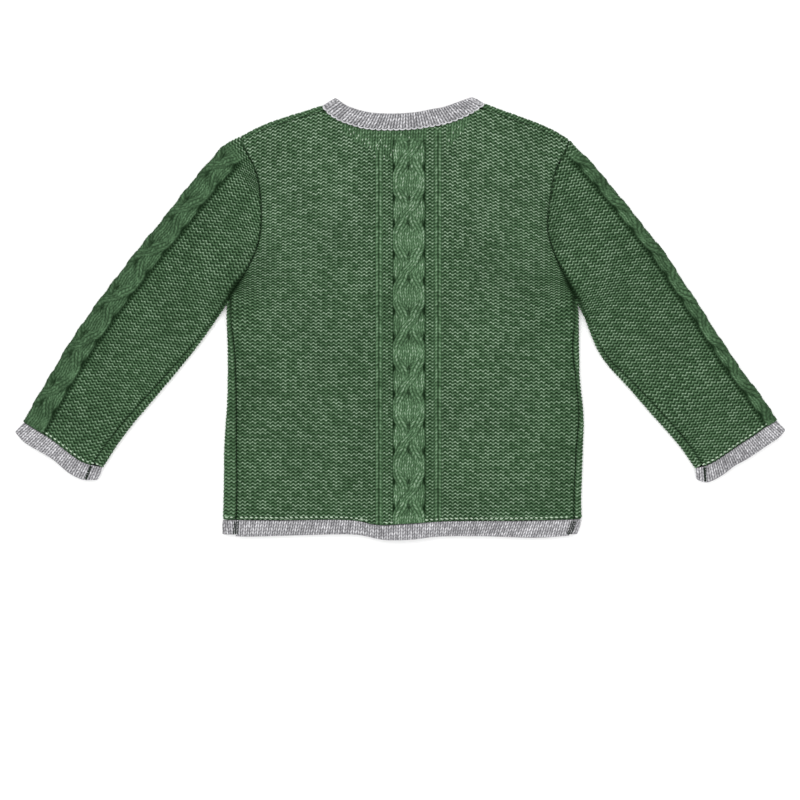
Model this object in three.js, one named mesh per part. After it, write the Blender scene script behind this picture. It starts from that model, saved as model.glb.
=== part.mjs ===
// A child's knitted cardigan that lies flat on its front, seen from the back.
// Millimetres. +X is the wearer's right, +Y points to the neck, +Z is up, z = 0 is the surface it lies on.
import * as THREE from 'three';

// Cloth, folds and seams
const CLOTH = 2.4;              // thickness of the knitted cloth
const TRIM_CLOTH = 2.6;         // thickness of the hem, cuffs and neckband
const SEAM_GAP = 0.4;           // space between two pieces where they are sewn together
const LAYER_GAP = 0.3;          // least space between two layers that lie on each other
const FOLD_RADIUS = 3.2;        // outer radius of the cloth where it folds to the other layer
const LAYER_TOP = 5.8;          // top of the two layers away from the folds
const FOLD_SETTLE = 14;         // distance over which a fold sinks to LAYER_TOP
const NECKBAND_TOP = 6.2;       // least height of the neckband's skin on the upper layer
const HALF_FOLD = FOLD_RADIUS * Math.PI / 2;

// Knitted relief
const STITCH = 3.25;            // width of a cable stitch
const CABLE_RELIEF = 2.0;       // height of the cable over the cloth
const CABLE_PERIOD = 46.5;      // length of one O and one X
const CABLE_STRAND = 3.3;       // half the width of a strand
const BACK_CABLE = { x: 7.8, ring: 18.5, start: 140 };      // ring is the middle of one O
const RIBS = [{ x: -17.0, start: 142 }, { x: 31.6, start: 158 }];
const RIB_RELIEF = 0.9;
const RIB_HALF_WIDTH = 2.4;

// Front bands and buttons
const FRONT_CENTRE = 3;
const BAND_HALF_WIDTH = 10;
const BAND_BOTTOM = -177.0;
const BAND_TOP = 132;
const BUTTON_RADIUS = 7.5;
const BUTTON_THICK = 1.9;
const HOLE_PLACE = 2.1;         // from the button's middle to each thread hole
const HOLE_RADIUS = 0.8;
const BUTTON_TOP_Y = 112;
const BUTTON_PITCH = 66;
const BUTTON_COUNT = 5;
const BUTTON_LIFT = BUTTON_THICK + LAYER_GAP;
const THIN_OVER_BUTTON = 0.6;   // the band is pressed thinner there
const BACK_OVER_BANDS = 9.0;    // top of the back over the bands
const NECK_LIFT_END = 147;       // how far up the back lies over the overlapped fronts
const BANDS_SETTLE = 34;        // half the width over which the back sinks beside them

// Colours
const GREEN = new THREE.Color(0.085, 0.21, 0.1);
const GREY = new THREE.Color(0.42, 0.42, 0.44);
const HORN = new THREE.Color(0.16, 0.1, 0.06);

function table(names, ...rows) {
  return rows.map((row) => Object.fromEntries(names.map((name, i) => [name, row[i]])));
}

// Outline of the left half, at -X
const LEFT = {
  name: 'left',
  sign: -1,
  side: table(['y', 'edge', 'seamInset'],
    [15.0, -140.6, 2.4],
    [2.0, -141.1, 3.2],
    [-24.0, -140.3, 4.8],
    [-64.0, -140.4, 6.4],
    [-104.0, -143.0, 9.2],
    [-140.0, -143.4, 10.0],
    [-166.0, -144.6, 10.3],
    [-170.5, -146.2, 10.6],
    [-178.0, -144.4, 10.2]),
  armhole: table(['x', 'y'],
    [-130.0, 148.8],
    [-127.8, 141.5],
    [-117.7, 120.1],
    [-113.6, 92.3],
    [-115.2, 64.4],
    [-125.1, 40.6],
    [-138.2, 20.4],
    [-140.6, 15.0]),
  shoulder: table(['x', 'y'],
    [-62.7, 174.3],
    [-81.6, 168.2],
    [-98.4, 163.0],
    [-114.0, 157.0],
    [-130.0, 148.8]),
  sleeveTop: table(['x', 'y'],
    [-130.0, 148.8],
    [-140.6, 143.1],
    [-150.5, 132.4],
    [-170.2, 109.5],
    [-189.8, 84.1],
    [-209.5, 60.3],
    [-229.2, 34.9],
    [-248.9, 8.6],
    [-268.6, -20.1],
    [-288.2, -52.9],
    [-307.3, -85.4]),
  sleeveUnder: table(['x', 'y'],
    [-140.6, 15.0],
    [-150.5, 0.4],
    [-164.4, -19.3],
    [-180.0, -39.0],
    [-195.6, -57.8],
    [-218.5, -84.9],
    [-233.3, -104.6],
    [-244.1, -121.8]),
  cuffSeam: table(['x', 'y'],
    [-307.3, -85.4],
    [-298.6, -90.8],
    [-285.5, -99.2],
    [-272.3, -109.4],
    [-261.6, -117.0],
    [-254.0, -119.8],
    [-244.1, -121.8]),
  cuffEnd: table(['x', 'y'],
    [-315.4, -93.2],
    [-308.0, -101.3],
    [-296.5, -108.4],
    [-284.5, -115.6],
    [-270.5, -127.2],
    [-259.3, -132.2],
    [-248.2, -132.4]),
  neckSeam: table(['x', 'y'],
    [-62.7, 174.3],
    [-56.5, 167.5],
    [-47.2, 162.3],
    [-36.7, 158.7],
    [-27.5, 156.4],
    [-14.0, 155.3],
    [0.0, 155.2]),
  neckEdge: table(['x', 'y'],
    [-52.1, 181.0],
    [-43.0, 174.6],
    [-32.4, 171.0],
    [-22.6, 168.9],
    [-11.0, 168.2],
    [0.0, 168.2]),
  frontNeckSeam: table(['x', 'y'],
    [-61.0, 171.6],
    [-52.5, 157.0],
    [-38.0, 143.5],
    [-20.0, 135.6],
    [3.0, 132.5]),
  frontNeckEdge: table(['x', 'y'],
    [-50.4, 178.3],
    [-42.5, 164.5],
    [-31.0, 154.0],
    [-16.0, 147.8],
    [3.0, 145.3]),
  neckFold: { x: 0.52, y: -0.85 },
  armholeFold: { x: 0.25, y: -0.97 },
  sleeveCable: { centre: 6.0, from: -6.0, to: 20.0, columns: 11, ring: 8.6 },
};

// Outline of the right half, at +X
const RIGHT = {
  name: 'right',
  sign: 1,
  side: table(['y', 'edge', 'seamInset'],
    [16.5, 144.9, 2.8],
    [3.0, 146.2, 3.0],
    [-24.0, 146.6, 5.0],
    [-50.0, 147.3, 2.6],
    [-78.0, 150.2, 3.0],
    [-108.0, 149.6, 4.7],
    [-150.0, 148.3, 5.2],
    [-164.0, 148.8, 5.6],
    [-170.5, 149.8, 6.2],
    [-176.0, 145.4, 4.5]),
  armhole: table(['x', 'y'],
    [139.0, 146.2],
    [136.9, 139.0],
    [128.3, 121.8],
    [123.4, 96.4],
    [121.8, 71.8],
    [128.3, 50.4],
    [139.0, 28.3],
    [144.9, 16.5]),
  shoulder: table(['x', 'y'],
    [69.3, 175.9],
    [87.0, 169.2],
    [105.4, 162.6],
    [125.0, 154.4],
    [139.0, 146.2]),
  sleeveTop: table(['x', 'y'],
    [139.0, 146.2],
    [144.9, 139.0],
    [154.6, 128.3],
    [174.3, 105.4],
    [193.9, 80.8],
    [213.6, 56.2],
    [233.3, 26.7],
    [253.0, -3.7],
    [272.7, -34.0],
    [292.3, -60.8],
    [308.6, -84.1]),
  sleeveUnder: table(['x', 'y'],
    [144.9, 16.5],
    [152.9, 0.4],
    [157.9, -12.7],
    [163.6, -25.8],
    [172.6, -39.0],
    [184.9, -52.1],
    [207.9, -78.3],
    [230.8, -104.6],
    [243.4, -122.6]),
  cuffSeam: table(['x', 'y'],
    [308.6, -84.1],
    [301.0, -88.6],
    [290.5, -96.2],
    [280.0, -102.9],
    [269.6, -110.0],
    [259.1, -117.0],
    [251.2, -120.8],
    [243.4, -122.6]),
  cuffEnd: table(['x', 'y'],
    [316.7, -91.6],
    [310.8, -98.0],
    [303.6, -102.9],
    [285.3, -115.2],
    [274.8, -121.0],
    [264.4, -128.8],
    [252.0, -134.4],
    [243.8, -132.0]),
  neckSeam: table(['x', 'y'],
    [69.3, 175.9],
    [62.7, 171.4],
    [50.2, 164.9],
    [38.7, 160.7],
    [24.0, 157.8],
    [12.5, 156.0],
    [0.0, 155.2]),
  neckEdge: table(['x', 'y'],
    [59.3, 181.8],
    [47.0, 177.3],
    [36.5, 173.6],
    [26.7, 171.8],
    [14.0, 169.4],
    [0.0, 168.2]),
  frontNeckSeam: table(['x', 'y'],
    [67.8, 173.1],
    [59.0, 157.5],
    [44.5, 143.5],
    [26.5, 135.6],
    [3.0, 132.5]),
  frontNeckEdge: table(['x', 'y'],
    [57.8, 179.1],
    [49.5, 165.0],
    [38.0, 154.2],
    [22.5, 147.8],
    [3.0, 145.3]),
  neckFold: { x: -0.50, y: -0.87 },
  armholeFold: { x: -0.28, y: -0.96 },
  sleeveCable: { centre: -3.0, from: -6.0, to: 11.0, columns: 8, ring: 8.6 },
};

// Seam between the body and its hem trim, and the lower edge of that trim
const HEM_SEAM_Y = -165;
const HEM_EDGE_Y = -176;
const HEM_SEAM = table(['x', 'y'],
  [-150, -165.0],
  [-100, -165.5],
  [-38, -165.6],
  [-17, -169.4],
  [4, -168.4],
  [40, -166.3],
  [100, -165.9],
  [155, -164.4]);
const HEM_EDGE = table(['x', 'y'],
  [-150, -177.0],
  [-130, -178.8],
  [-82, -177.8],
  [-35, -177.4],
  [-13, -181.4],
  [8, -181.4],
  [30, -179.0],
  [70, -178.6],
  [115, -179.8],
  [155, -176.4]);

// Soft ridges and troughs of the upper layer, each along a line from a to b
const CREASES = table(['ax', 'ay', 'bx', 'by', 'width', 'height'],
  [-109, 58, -60, 22, 13, 1.5],
  [-126, 22, -92, -12, 10, 1.0],
  [-128, 100, -140, 62, 12, 1.3],
  [-160, 52, -176, 8, 12, 1.0],
  [117, 60, 74, 20, 13, 1.3],
  [134, 24, 108, -8, 10, 1.0],
  [140, 96, 150, 58, 12, 1.4],
  [164, 50, 180, 4, 12, 1.1],
  [-60, -70, -25, -120, 16, 0.8],
  [78, -60, 110, -110, 16, 0.8],
  [-12, -150, -12, -178, 9, 1.4],
  [52, -158, 58, -180, 10, 0.7]);

function smooth(low, high, value) {
  return THREE.MathUtils.smoothstep(value, low, high);
}

function mix(a, b, t) {
  return { x: a.x + (b.x - a.x) * t, y: a.y + (b.y - a.y) * t };
}

function shifted(point, dx, dy) {
  return { x: point.x + dx, y: point.y + dy };
}

// A smooth plan curve through a table of x and y, read by its share of length
function planCurve(points) {
  const curve = new THREE.CatmullRomCurve3(
    points.map(({ x, y }) => new THREE.Vector3(x, y, 0)), false, 'centripetal');
  return (t) => {
    const { x, y } = curve.getPointAt(THREE.MathUtils.clamp(t, 0, 1));
    return { x, y };
  };
}

// Reads a column of a table smoothly at a value of its key column
function lookup(points, key, column, value) {
  const rows = [...points].sort((a, b) => a[key] - b[key]);
  const last = rows.length - 1;
  const at = THREE.MathUtils.clamp(value, rows[0][key], rows[last][key]);
  const i = Math.min(last - 1, rows.findLastIndex((row) => row[key] <= at));
  const slope = (j) => {
    const before = rows[Math.max(0, j - 1)];
    const after = rows[Math.min(last, j + 1)];
    return (after[column] - before[column]) / (after[key] - before[key]);
  };
  const span = rows[i + 1][key] - rows[i][key];
  const t = (at - rows[i][key]) / span;
  const start = rows[i][column];
  const rise = rows[i + 1][column] - start;
  const bend = (slope(i) * span - rise) * (1 - t) - (slope(i + 1) * span - rise) * t;
  return start + rise * t + bend * t * (1 - t);
}

for (const half of [LEFT, RIGHT]) {
  half.curves = {};
  for (const [name, value] of Object.entries(half)) {
    if (Array.isArray(value) && name !== 'side') half.curves[name] = planCurve(value);
  }
  half.edgeX = (y) => lookup(half.side, 'y', 'edge', y);
  half.seamInset = (y) => lookup(half.side, 'y', 'seamInset', y);
  half.armpit = half.armhole[half.armhole.length - 1];
}

// A point of a half's seam curve, moved to its side: into the body at the armhole, to the trim at the neck
function beside(half, name, t, distance) {
  const curve = half.curves[name];
  const step = 0.01;
  const before = curve(t - step);
  const after = curve(t + step);
  const length = Math.hypot(after.x - before.x, after.y - before.y);
  const along = { x: (after.x - before.x) / length, y: (after.y - before.y) / length };
  const way = -half.sign * distance;
  return shifted(curve(t), -along.y * way, along.x * way);
}

const hemSeamY = (x) => lookup(HEM_SEAM, 'x', 'y', x);
const hemEdgeY = (x) => lookup(HEM_EDGE, 'x', 'y', x);

for (const half of [LEFT, RIGHT]) {
  half.frontHemY = hemSeamY(half.edgeX(HEM_SEAM_Y));
  half.frontHemEdgeY = hemEdgeY(half.edgeX(HEM_EDGE_Y)) + 0.4;
  half.hemInset = half.seamInset((HEM_SEAM_Y + HEM_EDGE_Y) / 2);
}

// Distance from a plan point to a line of plan points
function distanceTo(line, x, y) {
  let least = Infinity;
  for (let i = 1; i < line.length; i += 1) {
    const a = line[i - 1];
    const b = line[i];
    const length = (b.x - a.x) ** 2 + (b.y - a.y) ** 2;
    const t = THREE.MathUtils.clamp(
      ((x - a.x) * (b.x - a.x) + (y - a.y) * (b.y - a.y)) / length, 0, 1);
    least = Math.min(least, Math.hypot(x - a.x - (b.x - a.x) * t, y - a.y - (b.y - a.y) * t));
  }
  return least;
}

// The lines where the body's cloth folds over: both sides and both shoulders
const FOLDS = [];
for (const half of [LEFT, RIGHT]) {
  const side = [];
  for (let i = 0; i <= 24; i += 1) {
    const y = half.armpit.y - i * 8;
    side.push({ x: half.edgeX(y), y });
  }
  const shoulder = [];
  for (let i = 0; i <= 12; i += 1) shoulder.push(half.curves.shoulder(i / 12));
  FOLDS.push(side, shoulder);
}

// Height of the upper skin at a distance from its nearest fold
function foldHeight(distance) {
  if (distance < FOLD_RADIUS) {
    const inset = FOLD_RADIUS - distance;
    return FOLD_RADIUS + Math.sqrt(Math.max(0, FOLD_RADIUS ** 2 - inset ** 2));
  }
  const sink = smooth(FOLD_RADIUS, FOLD_RADIUS + FOLD_SETTLE, distance);
  return 2 * FOLD_RADIUS - (2 * FOLD_RADIUS - LAYER_TOP) * sink;
}

// Height that the soft ridges add
function creaseHeight(x, y) {
  let height = 0;
  for (const { ax, ay, bx, by, width, height: top } of CREASES) {
    const length = Math.hypot(bx - ax, by - ay);
    const along = ((x - ax) * (bx - ax) + (y - ay) * (by - ay)) / length ** 2;
    const across = Math.abs((x - ax) * (by - ay) - (y - ay) * (bx - ax)) / length;
    const ends = smooth(-0.35, 0.3, along) * (1 - smooth(0.7, 1.35, along));
    height += top * ends * Math.exp(-((across / width) ** 2) * 2);
  }
  return height;
}

// Height of the body's upper skin, without its knitted relief
function bodyTop(x, y) {
  const distance = Math.min(...FOLDS.map((line) => distanceTo(line, x, y)));
  const overBands = 1 - smooth(BAND_HALF_WIDTH + 2, BANDS_SETTLE, Math.abs(x - FRONT_CENTRE));
  const belowNeck = 1 - smooth(NECK_LIFT_END, NECK_LIFT_END + 24, y);
  const lift = (BACK_OVER_BANDS - LAYER_TOP) * overBands * belowNeck;
  const calm = smooth(2, 12, distance);
  return foldHeight(distance) + Math.max(lift, creaseHeight(x, y) * calm);
}

// Height of the underside of the right front, which rises onto the button band
function rightFrontRise(x) {
  const rise = CLOTH + LAYER_GAP + 0.2;
  return rise * (1 - smooth(FRONT_CENTRE + BAND_HALF_WIDTH + 2, FRONT_CENTRE + 30, x));
}

// Lift of the bands over the buttons
const BUTTON_Y = Array.from({ length: BUTTON_COUNT }, (_, i) => BUTTON_TOP_Y - i * BUTTON_PITCH);
function buttonShare(y) {
  const nearest = Math.min(...BUTTON_Y.map((at) => Math.abs(y - at)));
  return 1 - smooth(BUTTON_RADIUS + 1.5, BUTTON_RADIUS + 13, nearest);
}

// Relief of an OXO cable of four two-stitch strands, across it and along it from the middle of an O
function cableRelief(across, along) {
  const turn = Math.cos((2 * Math.PI * along) / CABLE_PERIOD);
  const strands = [
    { at: 2 + turn, front: 0.5 + 0.5 * Math.abs(turn) },
    { at: 2 - turn, front: 0.5 - 0.2 * Math.abs(turn) },
  ];
  let height = 0;
  for (const { at, front } of strands) {
    const off = Math.abs(Math.abs(across) - at * STITCH) / CABLE_STRAND;
    if (off < 1) height = Math.max(height, (0.55 + 0.45 * front) * Math.sqrt(1 - off * off));
  }
  return height * CABLE_RELIEF;
}

function backRelief(x, y) {
  const { x: centre, ring, start } = BACK_CABLE;
  let height = cableRelief(x - centre, y - ring) * (1 - smooth(start - 16, start, y));
  for (const rib of RIBS) {
    const off = Math.abs(x - rib.x) / RIB_HALF_WIDTH;
    const fade = 1 - smooth(rib.start - 8, rib.start, y);
    if (off < 1) height = Math.max(height, RIB_RELIEF * (1 - off * off) * fade);
  }
  return height;
}

// A closed solid, collected as triangles of {x, y, z} points
class Solid {
  constructor() {
    this.positions = [];
  }

  triangle(a, b, c) {
    for (const point of [a, b, c]) this.positions.push(point.x, point.y, point.z);
  }

  quad(a, b, c, d) {
    this.triangle(a, b, c);
    this.triangle(a, c, d);
  }

  // Faces of a grid of rows, seen from the side where rows run up and columns run right
  grid(rows, turned = false) {
    for (let j = 1; j < rows.length; j += 1) {
      for (let i = 1; i < rows[j].length; i += 1) {
        const corners = [rows[j - 1][i - 1], rows[j - 1][i], rows[j][i], rows[j][i - 1]];
        if (turned) corners.reverse();
        this.quad(...corners);
      }
    }
  }

  // Faces between two lines of points that run side by side, with b on the left of a
  zip(a, b, turned = false) {
    const share = (line) => {
      const lengths = [0];
      for (let i = 1; i < line.length; i += 1) {
        const step = Math.hypot(
          line[i].x - line[i - 1].x, line[i].y - line[i - 1].y, line[i].z - line[i - 1].z);
        lengths.push(lengths[i - 1] + step);
      }
      return lengths.map((length) => length / lengths[lengths.length - 1]);
    };
    const along = { a: share(a), b: share(b) };
    let i = 0;
    let j = 0;
    while (i < a.length - 1 || j < b.length - 1) {
      const stepA = j === b.length - 1
        || (i < a.length - 1 && along.a[i + 1] <= along.b[j + 1]);
      const corners = stepA ? [a[i], a[i + 1], b[j]] : [a[i], b[j + 1], b[j]];
      if (turned) corners.reverse();
      this.triangle(...corners);
      if (stepA) i += 1;
      else j += 1;
    }
  }

  geometry() {
    const made = new THREE.BufferGeometry();
    made.setAttribute('position', new THREE.Float32BufferAttribute(this.positions, 3));
    made.computeVertexNormals();
    return made;
  }
}

// A sheet of cloth with the same grid of points on its outer and inner faces
function sheetSolid(outer, inner, domain = () => true) {
  const solid = new Solid();
  const cells = new Set();
  const key = (j, i) => `${j},${i}`;
  for (let j = 1; j < outer.length; j += 1) {
    for (let i = 1; i < outer[j].length; i += 1) if (domain(j, i)) cells.add(key(j, i));
  }
  const at = (rows, [j, i]) => rows[j][i];
  const wall = (p, q) => solid.quad(at(outer, q), at(outer, p), at(inner, p), at(inner, q));
  for (const cell of cells) {
    const [j, i] = cell.split(',').map(Number);
    solid.quad(outer[j - 1][i - 1], outer[j - 1][i], outer[j][i], outer[j][i - 1]);
    solid.quad(inner[j][i - 1], inner[j][i], inner[j - 1][i], inner[j - 1][i - 1]);
    if (!cells.has(key(j - 1, i))) wall([j - 1, i - 1], [j - 1, i]);
    if (!cells.has(key(j, i + 1))) wall([j - 1, i], [j, i]);
    if (!cells.has(key(j + 1, i))) wall([j, i], [j, i - 1]);
    if (!cells.has(key(j, i - 1))) wall([j, i - 1], [j - 1, i - 1]);
  }
  return solid;
}

// Upright direction of a height function at a plan point
function normalOf(height, x, y) {
  const step = 0.5;
  const dx = (height(x + step, y) - height(x - step, y)) / (2 * step);
  const dy = (height(x, y + step) - height(x, y - step)) / (2 * step);
  return new THREE.Vector3(-dx, -dy, 1).normalize();
}

function topPoint({ x, y }, relief = 0) {
  return new THREE.Vector3(x, y, bodyTop(x, y) + relief);
}

function underTop({ x, y }, thick = CLOTH) {
  const normal = normalOf(bodyTop, x, y);
  return new THREE.Vector3(x, y, bodyTop(x, y)).addScaledVector(normal, -thick);
}

// A patch between four plan curves, where across and up run from 0 to 1
function patch({ bottom, top, inner, outer }) {
  const corners = { a: bottom(0), b: bottom(1), c: top(0), d: top(1) };
  return (u, v) => {
    const level = mix(bottom(u), top(u), v);
    const cross = mix(inner(v), outer(v), u);
    const flat = mix(mix(corners.a, corners.b, u), mix(corners.c, corners.d, u), v);
    return { x: level.x + cross.x - flat.x, y: level.y + cross.y - flat.y };
  };
}

// Joins two plan curves end to end, with the first reaching up to a share of the whole
function joined(first, second, share) {
  return (t) => (t <= share ? first(t / share) : second((t - share) / (1 - share)));
}

// Direction in which cloth leaves the shoulder fold, from the neck (0) to the armhole (1)
function foldDirection(half, t) {
  const { x, y } = mix(half.neckFold, half.armholeFold, t);
  const length = Math.hypot(x, y);
  return { x: x / length, y: y / length };
}

// Where a length of cloth, measured over a fold from its outermost line, comes to lie
function overFold(length) {
  if (Math.abs(length) <= HALF_FOLD) {
    const angle = length / FOLD_RADIUS;
    return {
      inset: FOLD_RADIUS * (1 - Math.cos(angle)),
      z: FOLD_RADIUS * (1 + Math.sin(angle)),
      out: Math.cos(angle),
      up: Math.sin(angle),
    };
  }
  const flat = Math.abs(length) - HALF_FOLD;
  return { inset: FOLD_RADIUS + flat, z: length > 0 ? null : 0, out: 0, up: Math.sign(length) };
}

// The length over a fold at which the cloth's inset on the upper layer is reached
function lengthAtInset(inset) {
  if (inset >= FOLD_RADIUS) return HALF_FOLD + inset - FOLD_RADIUS;
  return FOLD_RADIUS * Math.acos(1 - inset / FOLD_RADIUS);
}

// Outer and inner points of cloth over a fold that starts at a plan point and leads inwards
function foldPoints(start, inward, length, thick) {
  const { inset, z, out, up } = overFold(length);
  const plan = shifted(start, inward.x * inset, inward.y * inset);
  const height = z ?? bodyTop(plan.x, plan.y);
  const outer = new THREE.Vector3(plan.x, plan.y, height);
  const normal = new THREE.Vector3(-inward.x * out, -inward.y * out, up).normalize();
  return { outer, inner: outer.clone().addScaledVector(normal, -thick) };
}

// Where the seam lies on the upper layer below the shoulder fold
const SHOULDER_SEAM_INSET = FOLD_RADIUS + 0.7;

// Sizes of the back's grids
const ARMHOLE_GAP = 0.35;        // half the space at the armhole, where two curves of chords meet
const STRIP = { left: -20.6, right: 35.4, ease: 2.2, columns: 20, rows: 77, coarseColumns: 6 };
const ACROSS = [0, 0.045, 0.18, 0.36, 0.54, 0.7, 0.84, 0.94, 0.98, 1];
const BODY_ROWS = 12;
const ARMHOLE_ROWS = 10;
const ARMPIT_SHARE = 0.52;      // share of a half's rows that lie below the armpit
const NECK_SHARE = 0.84;        // share that lie below the corner of the strip and the neck
const FRONT_NECK_SHARE = 0.78;

// Shares of the way up a half of the back at which its rows lie
function backRows() {
  const rows = [];
  for (let j = 0; j <= BODY_ROWS; j += 1) rows.push(ARMPIT_SHARE * j / BODY_ROWS);
  for (let j = 1; j <= ARMHOLE_ROWS; j += 1) {
    rows.push(THREE.MathUtils.lerp(ARMPIT_SHARE, 1, j / ARMHOLE_ROWS));
  }
  return rows;
}

// The back's outline on one half, with u from the centre strip to the side and v upwards
function backHalf(half, stripX) {
  const gap = SEAM_GAP / 2;
  const neckAt = (x) => {
    let best = half.curves.neckSeam(0);
    for (let i = 1; i <= 200; i += 1) {
      const point = half.curves.neckSeam(i / 200);
      if (Math.abs(point.x - x) < Math.abs(best.x - x)) best = point;
    }
    return { ...best, x };
  };
  const corner = neckAt(stripX);
  let cornerShare = 1;
  for (let i = 0; i <= 200; i += 1) {
    if (Math.abs(half.curves.neckSeam(i / 200).x) <= Math.abs(stripX)) {
      cornerShare = i / 200;
      break;
    }
  }
  const shoulderEdge = (t) => {
    const start = half.curves.shoulder(t);
    const { x, y } = foldDirection(half, t);
    const inset = SHOULDER_SEAM_INSET + gap * 2;
    return shifted(start, x * inset, y * inset);
  };
  const stripLine = (t) => ({
    x: stripX,
    y: THREE.MathUtils.lerp(hemSeamY(stripX) + gap, corner.y - gap, t),
  });
  const neckTop = shoulderEdge(0);
  const neckLine = (t) => {
    return t > 0.98 ? neckTop : beside(half, 'neckSeam', cornerShare * (1 - t), -gap * 1.8);
  };
  const sideLine = (t) => {
    const y = THREE.MathUtils.lerp(half.frontHemY + gap, half.armpit.y, t);
    return { x: half.edgeX(y) - half.sign * (half.seamInset(y) + gap), y };
  };
  const armholeTop = shoulderEdge(1);
  const armholeLine = (t) => {
    const foot = SHOULDER_SEAM_INSET / 145;
    if (t > 0.999) return shifted(armholeTop, -half.sign * SEAM_GAP, 0);
    return beside(half, 'armhole', 1 - t * (1 - foot), ARMHOLE_GAP);
  };
  const low = (u) => {
    const x = THREE.MathUtils.lerp(stripX, sideLine(0).x, u);
    return u > 0.999 ? sideLine(0) : { x, y: hemSeamY(x) + gap };
  };
  const shoulderEnd = armholeLine(1);
  const top = (u) => (u > 0.999 ? shoulderEnd : shoulderEdge(u));
  return patch({
    bottom: low,
    top,
    inner: joined(stripLine, neckLine, NECK_SHARE),
    outer: joined(sideLine, armholeLine, ARMPIT_SHARE),
  });
}

function makeBack() {
  const solid = new Solid();
  const gap = SEAM_GAP / 2;
  const stripEdge = { left: STRIP.left - STRIP.ease, right: STRIP.right + STRIP.ease };
  const halves = [
    { half: LEFT, map: backHalf(LEFT, stripEdge.left) },
    { half: RIGHT, map: backHalf(RIGHT, stripEdge.right) },
  ];
  const shares = backRows();
  const neckRow = shares.findLastIndex((share) => share <= NECK_SHARE);
  const grids = halves.map(({ half, map }) => {
    const plan = shares.map((v) => ACROSS.map((u) => map(u, v)));
    if (half === LEFT) plan.forEach((row) => row.reverse());
    return plan;
  });
  const outerOf = (plan) => plan.map((row) => row.map((p) => topPoint(p, backRelief(p.x, p.y))));
  const innerOf = (plan) => plan.map((row) => row.map((p) => underTop(p)));
  const [leftOuter, rightOuter] = grids.map(outerOf);
  const [leftInner, rightInner] = grids.map(innerOf);
  solid.grid(leftOuter);
  solid.grid(rightOuter);
  solid.grid(leftInner, true);
  solid.grid(rightInner, true);

  // The strip with the cable and the ribs, in fine rows
  const neckY = (x) => {
    const half = x < 0 ? LEFT : RIGHT;
    return lookup(half.neckSeam, 'x', 'y', x) - gap * 1.6;
  };
  const strip = [];
  for (let j = 0; j <= STRIP.rows; j += 1) {
    const row = [];
    for (let i = 0; i <= STRIP.columns; i += 1) {
      const x = THREE.MathUtils.lerp(STRIP.left, STRIP.right, i / STRIP.columns);
      const y = THREE.MathUtils.lerp(hemSeamY(x) + gap, neckY(x), j / STRIP.rows);
      row.push(topPoint({ x, y }, backRelief(x, y)));
    }
    strip.push(row);
  }
  solid.grid(strip);

  // Each half's vertical line beside the strip, up to the neck
  const last = ACROSS.length - 1;
  const leftLine = leftOuter.slice(0, neckRow + 1).map((row) => row[last]);
  const rightLine = rightOuter.slice(0, neckRow + 1).map((row) => row[0]);
  solid.zip(strip.map((row) => row[0]), leftLine);
  solid.zip(rightLine, strip.map((row) => row[STRIP.columns]));

  // The plain inside of the strip
  const inside = [];
  for (let j = 0; j <= neckRow; j += 1) {
    const a = grids[0][j][last];
    const b = grids[1][j][0];
    const row = [leftInner[j][last]];
    for (let i = 1; i < STRIP.coarseColumns; i += 1) {
      const u = i / STRIP.coarseColumns;
      const x = THREE.MathUtils.lerp(a.x, b.x, u);
      const t = j / neckRow;
      const y = THREE.MathUtils.lerp(hemSeamY(x) + gap, neckY(x), t);
      row.push(underTop({ x, y }));
    }
    row.push(rightInner[j][0]);
    inside.push(row);
  }
  solid.grid(inside, true);

  // The rim, from the outer to the inner face
  const rim = (outer, inner) => solid.zip(inner, outer);
  const top = shares.length - 1;
  rim([...leftOuter[0], ...strip[0], ...rightOuter[0]],
    [...leftInner[0], ...inside[0].slice(1, -1), ...rightInner[0]]);
  rim(rightOuter.map((row) => row[last]), rightInner.map((row) => row[last]));
  rim([...rightOuter[top]].reverse(), [...rightInner[top]].reverse());
  const neckOuter = [
    ...rightOuter.slice(neckRow).map((row) => row[0]).reverse(),
    ...[...strip[STRIP.rows]].reverse(),
    ...leftOuter.slice(neckRow).map((row) => row[last]),
  ];
  const neckInner = [
    ...rightInner.slice(neckRow).map((row) => row[0]).reverse(),
    ...inside[neckRow].slice(1, -1).reverse(),
    ...leftInner.slice(neckRow).map((row) => row[last]),
  ];
  rim(neckOuter, neckInner);
  rim([...leftOuter[top]].reverse(), [...leftInner[top]].reverse());
  rim(leftOuter.map((row) => row[0]).reverse(), leftInner.map((row) => row[0]).reverse());
  return solid.geometry();
}

// A front: a flat panel on the lower layer that wraps over the side and shoulder folds
const FRONT_NECK_GAP = 0.6;
const FRONT_ACROSS = [0, 0.1, 0.28, 0.5, 0.72, 0.9, 1];
const WRAP_STEPS = 5;
const FRONT_BODY_ROWS = 12;
const FRONT_ARMHOLE_ROWS = 11;

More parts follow.
